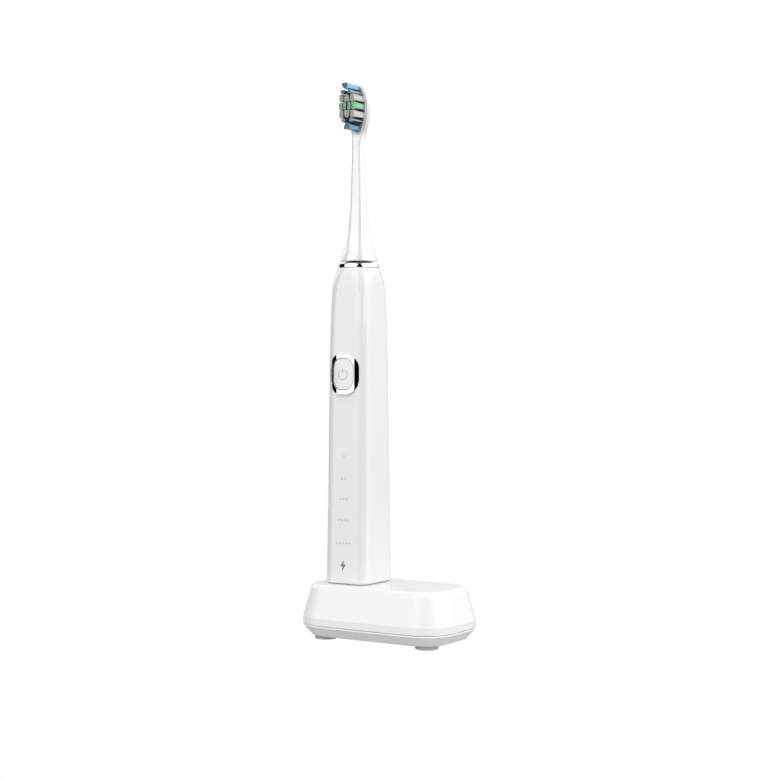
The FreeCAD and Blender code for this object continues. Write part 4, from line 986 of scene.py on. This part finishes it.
for name, slot_name, node, mat, rows_ in GROUPS:
    rng = random.Random(name)
    verts, faces, depth = [], [], []
    for z, tip, tufts in rows_:
        spots = sorted(q[0] for q in tufts)
        for x, rw, rh, tw, th, shape in tufts:
            facing = ("" if x == spots[0] else "l") + ("" if x == spots[-1] else "r")
            facing += ("" if z > 274 else "u") + ("" if z < 256 else "d")
            root = rrect_poly(rw, rh, min(rw, rh) * 0.3)
            if shape == "round":
                poly = rrect_poly(tw, th, min(tw, th) * 0.48)
            elif shape == "shield_up":
                poly = shield(tw, th)
            elif shape == "shield_down":
                poly = [(a, -b) for a, b in shield(tw, th)]
            elif shape == "power":
                poly = [(-1.5, 1.75), (1.2, 1.75), (1.8, 1.1), (1.8, -1.2), (1.3, -1.75), (0.6, -1.75), (-0.6, -1.0), (-1.8, 0.5), (-1.8, 1.4)]
            elif shape == "heel":
                poly = [(-0.9, 1.65), (0.4, 1.65), (1.95, 0.7), (1.95, -1.65), (-1.95, -1.65), (-1.95, -1.1)]
            else:
                poly = rrect_poly(tw, th, min(tw, th) * 0.32)
            tuft(verts, faces, depth, (x, z), root, poly, tip, rng, facing)
    ob = mesh_object(name, verts, faces, None, smooth=True)
    # 'depth' holds the painted shade for strands facing a gap
    point_values(ob, "depth", depth)
    finish_piece(ob, "brush_head", mat, slot_name, *([node] if node else []))

# ------------------------------------------------------------------ stage, light and camera
scene = bpy.context.scene
world = bpy.data.worlds.new("studio")
scene.world = world
world.use_nodes = True
wt = world.node_tree
background = wt.nodes["Background"]
wc = wt.nodes.new("ShaderNodeTexCoord")
wsep = wt.nodes.new("ShaderNodeSeparateXYZ")
wt.links.new(wc.outputs["Generated"], wsep.inputs["Vector"])


def wmath(op, a, b=None):
    node_ = wt.nodes.new("ShaderNodeMath")
    node_.operation = op
    for k, val in enumerate((a, b)):
        if val is None:
            continue
        if isinstance(val, (int, float)):
            node_.inputs[k].default_value = val
        else:
            wt.links.new(val, node_.inputs[k])
    return node_.outputs[0]


def curve(value, stops, lo_, hi_):
    """A piecewise straight curve through (place, brightness) stops."""
    r = wt.nodes.new("ShaderNodeValToRGB")
    r.color_ramp.interpolation = "LINEAR"
    while len(r.color_ramp.elements) < len(stops):
        r.color_ramp.elements.new(0.5)
    for el, (at_, _) in zip(r.color_ramp.elements, stops):
        el.position = (at_ - lo_) / (hi_ - lo_)
    for el, (_, val) in zip(r.color_ramp.elements, stops):
        el.color = (val / 2, val / 2, val / 2, 1)
    wt.links.new(wmath("DIVIDE", wmath("SUBTRACT", value, lo_), hi_ - lo_), r.inputs["Fac"])
    return wmath("MULTIPLY", r.outputs["Color"], 2.0)


# brightness round the studio by compass direction (0 = -Y, 90 = +X), and by height
WALLS = [(-180, 0.98), (-165, 1.08), (-130, 1.08), (-110, 0.95), (-90, 0.88), (-60, 0.95), (-30, 1.15), (0, 1.20), (33, 1.22), (60, 1.32), (90, 1.42), (120, 1.30), (150, 1.0), (180, 0.98)]
HEIGHT = [(-1.0, 0.25), (-0.4, 0.38), (-0.08, 0.75), (0.0, 1.02), (0.12, 1.12), (0.35, 1.36), (0.6, 1.25), (0.85, 0.85), (1.0, 0.72)]
azim = wmath("MULTIPLY", wmath("ARCTAN2", wsep.outputs["X"], wmath("MULTIPLY", wsep.outputs["Y"], -1.0)), 180 / math.pi)
wt.links.new(wmath("MULTIPLY", curve(azim, WALLS, -180, 180), curve(wsep.outputs["Z"], HEIGHT, -1, 1)), background.inputs["Strength"])
background.inputs["Color"].default_value = (1, 1, 1, 1)

me = bpy.data.meshes.new("floor")
me.from_pydata([(-6, -6, 0), (6, -6, 0), (6, 6, 0), (-6, 6, 0)], [], [(0, 1, 2, 3)])
floor = bpy.data.objects.new("floor", me)
scene.collection.objects.link(floor)
fm, fnt, fb = new_material("mat_floor", (0.0, 0.0, 0.0), 0.6, spec=0.0)
fb.inputs["Emission Color"].default_value = (1, 1, 1, 1)
fb.inputs["Emission Strength"].default_value = 1.01
floor.data.materials.append(fm)
floor.visible_diffuse = False
floor.visible_glossy = False


def card(name, strips, dist, glow):
    """A card that only reflections see, standing round the object; strips are (height angle, from, to) in degrees, bottom to top."""
    verts, faces = [], []
    k = 8
    for elev, az0, az1 in strips:
        for i in range(k + 1):
            a_ = math.radians(az0 + (az1 - az0) * i / k)
            e_ = math.radians(elev)
            verts.append((dist * math.sin(a_), -dist * math.cos(a_), 0.14 + dist * math.tan(e_)))
    for j in range(len(strips) - 1):
        for i in range(k):
            a_ = j * (k + 1) + i
            faces.append((a_, a_ + 1, a_ + k + 2, a_ + k + 1))
    me_ = bpy.data.meshes.new(name)
    me_.from_pydata(verts, [], faces)
    ob = bpy.data.objects.new(name, me_)
    scene.collection.objects.link(ob)
    m_, nt_, b_ = new_material("mat_" + name, (0.0, 0.0, 0.0), 1.0, spec=0.0)
    if glow:
        b_.inputs["Emission Color"].default_value = (1, 1, 1, 1)
        b_.inputs["Emission Strength"].default_value = glow
    ob.data.materials.append(m_)
    ob.visible_camera = False
    ob.visible_diffuse = False
    ob.visible_shadow = False
    ob.visible_transmission = False
    return ob


card("card_near_camera", [(-50, 22, 53), (-12.0, 22, 53), (-11.5, -4, 86), (-2.6, -4, 86), (-2.4, 16.5, 80), (2.2, 16.5, 80), (2.4, -4, 86), (5.0, -4, 86), (5.1, 21, 54), (6.5, 21, 54), (10.9, 31, 45), (11.5, 20, 55), (12.5, 8, 66), (18, 8, 66), (30, 18, 58), (70, 16, 62)], 1.6, 0)
card("card_left", [(-50, -104, -53), (-12, -104, -53), (-11.5, -104, -43), (-2.6, -104, -43), (-2.5, -104, -53), (9, -104, -53), (11, -88, -43), (14, -86, -43), (18, -83, -47), (22, -80, -47), (70, -76, -46)], 1.6, 0)
card("card_back", [(-60, 165, 252), (0, 165, 252), (35, 165, 252)], 2.4, 0.70)

PSI, TH = math.radians(32.69), math.radians(1.07)
fwd = Vector((-math.sin(PSI) * math.cos(TH), math.cos(PSI) * math.cos(TH), -math.sin(TH)))
right = Vector((math.cos(PSI), math.sin(PSI), 0))
up = right.cross(fwd)
cam_data = bpy.data.cameras.new("camera")
cam = bpy.data.objects.new("camera", cam_data)
scene.collection.objects.link(cam)
rot = Matrix((right, up, -fwd)).transposed().to_4x4()
cam.matrix_world = Matrix.Translation(Vector((0.45255, -0.70407, 0.14003))) @ rot
cam_data.sensor_width = 36.0
cam_data.lens = 1686.25 / 780 * 36.0
cam_data.clip_start = 0.01
cam_data.clip_end = 50
scene.camera = cam
scene.view_settings.view_transform = "Standard"
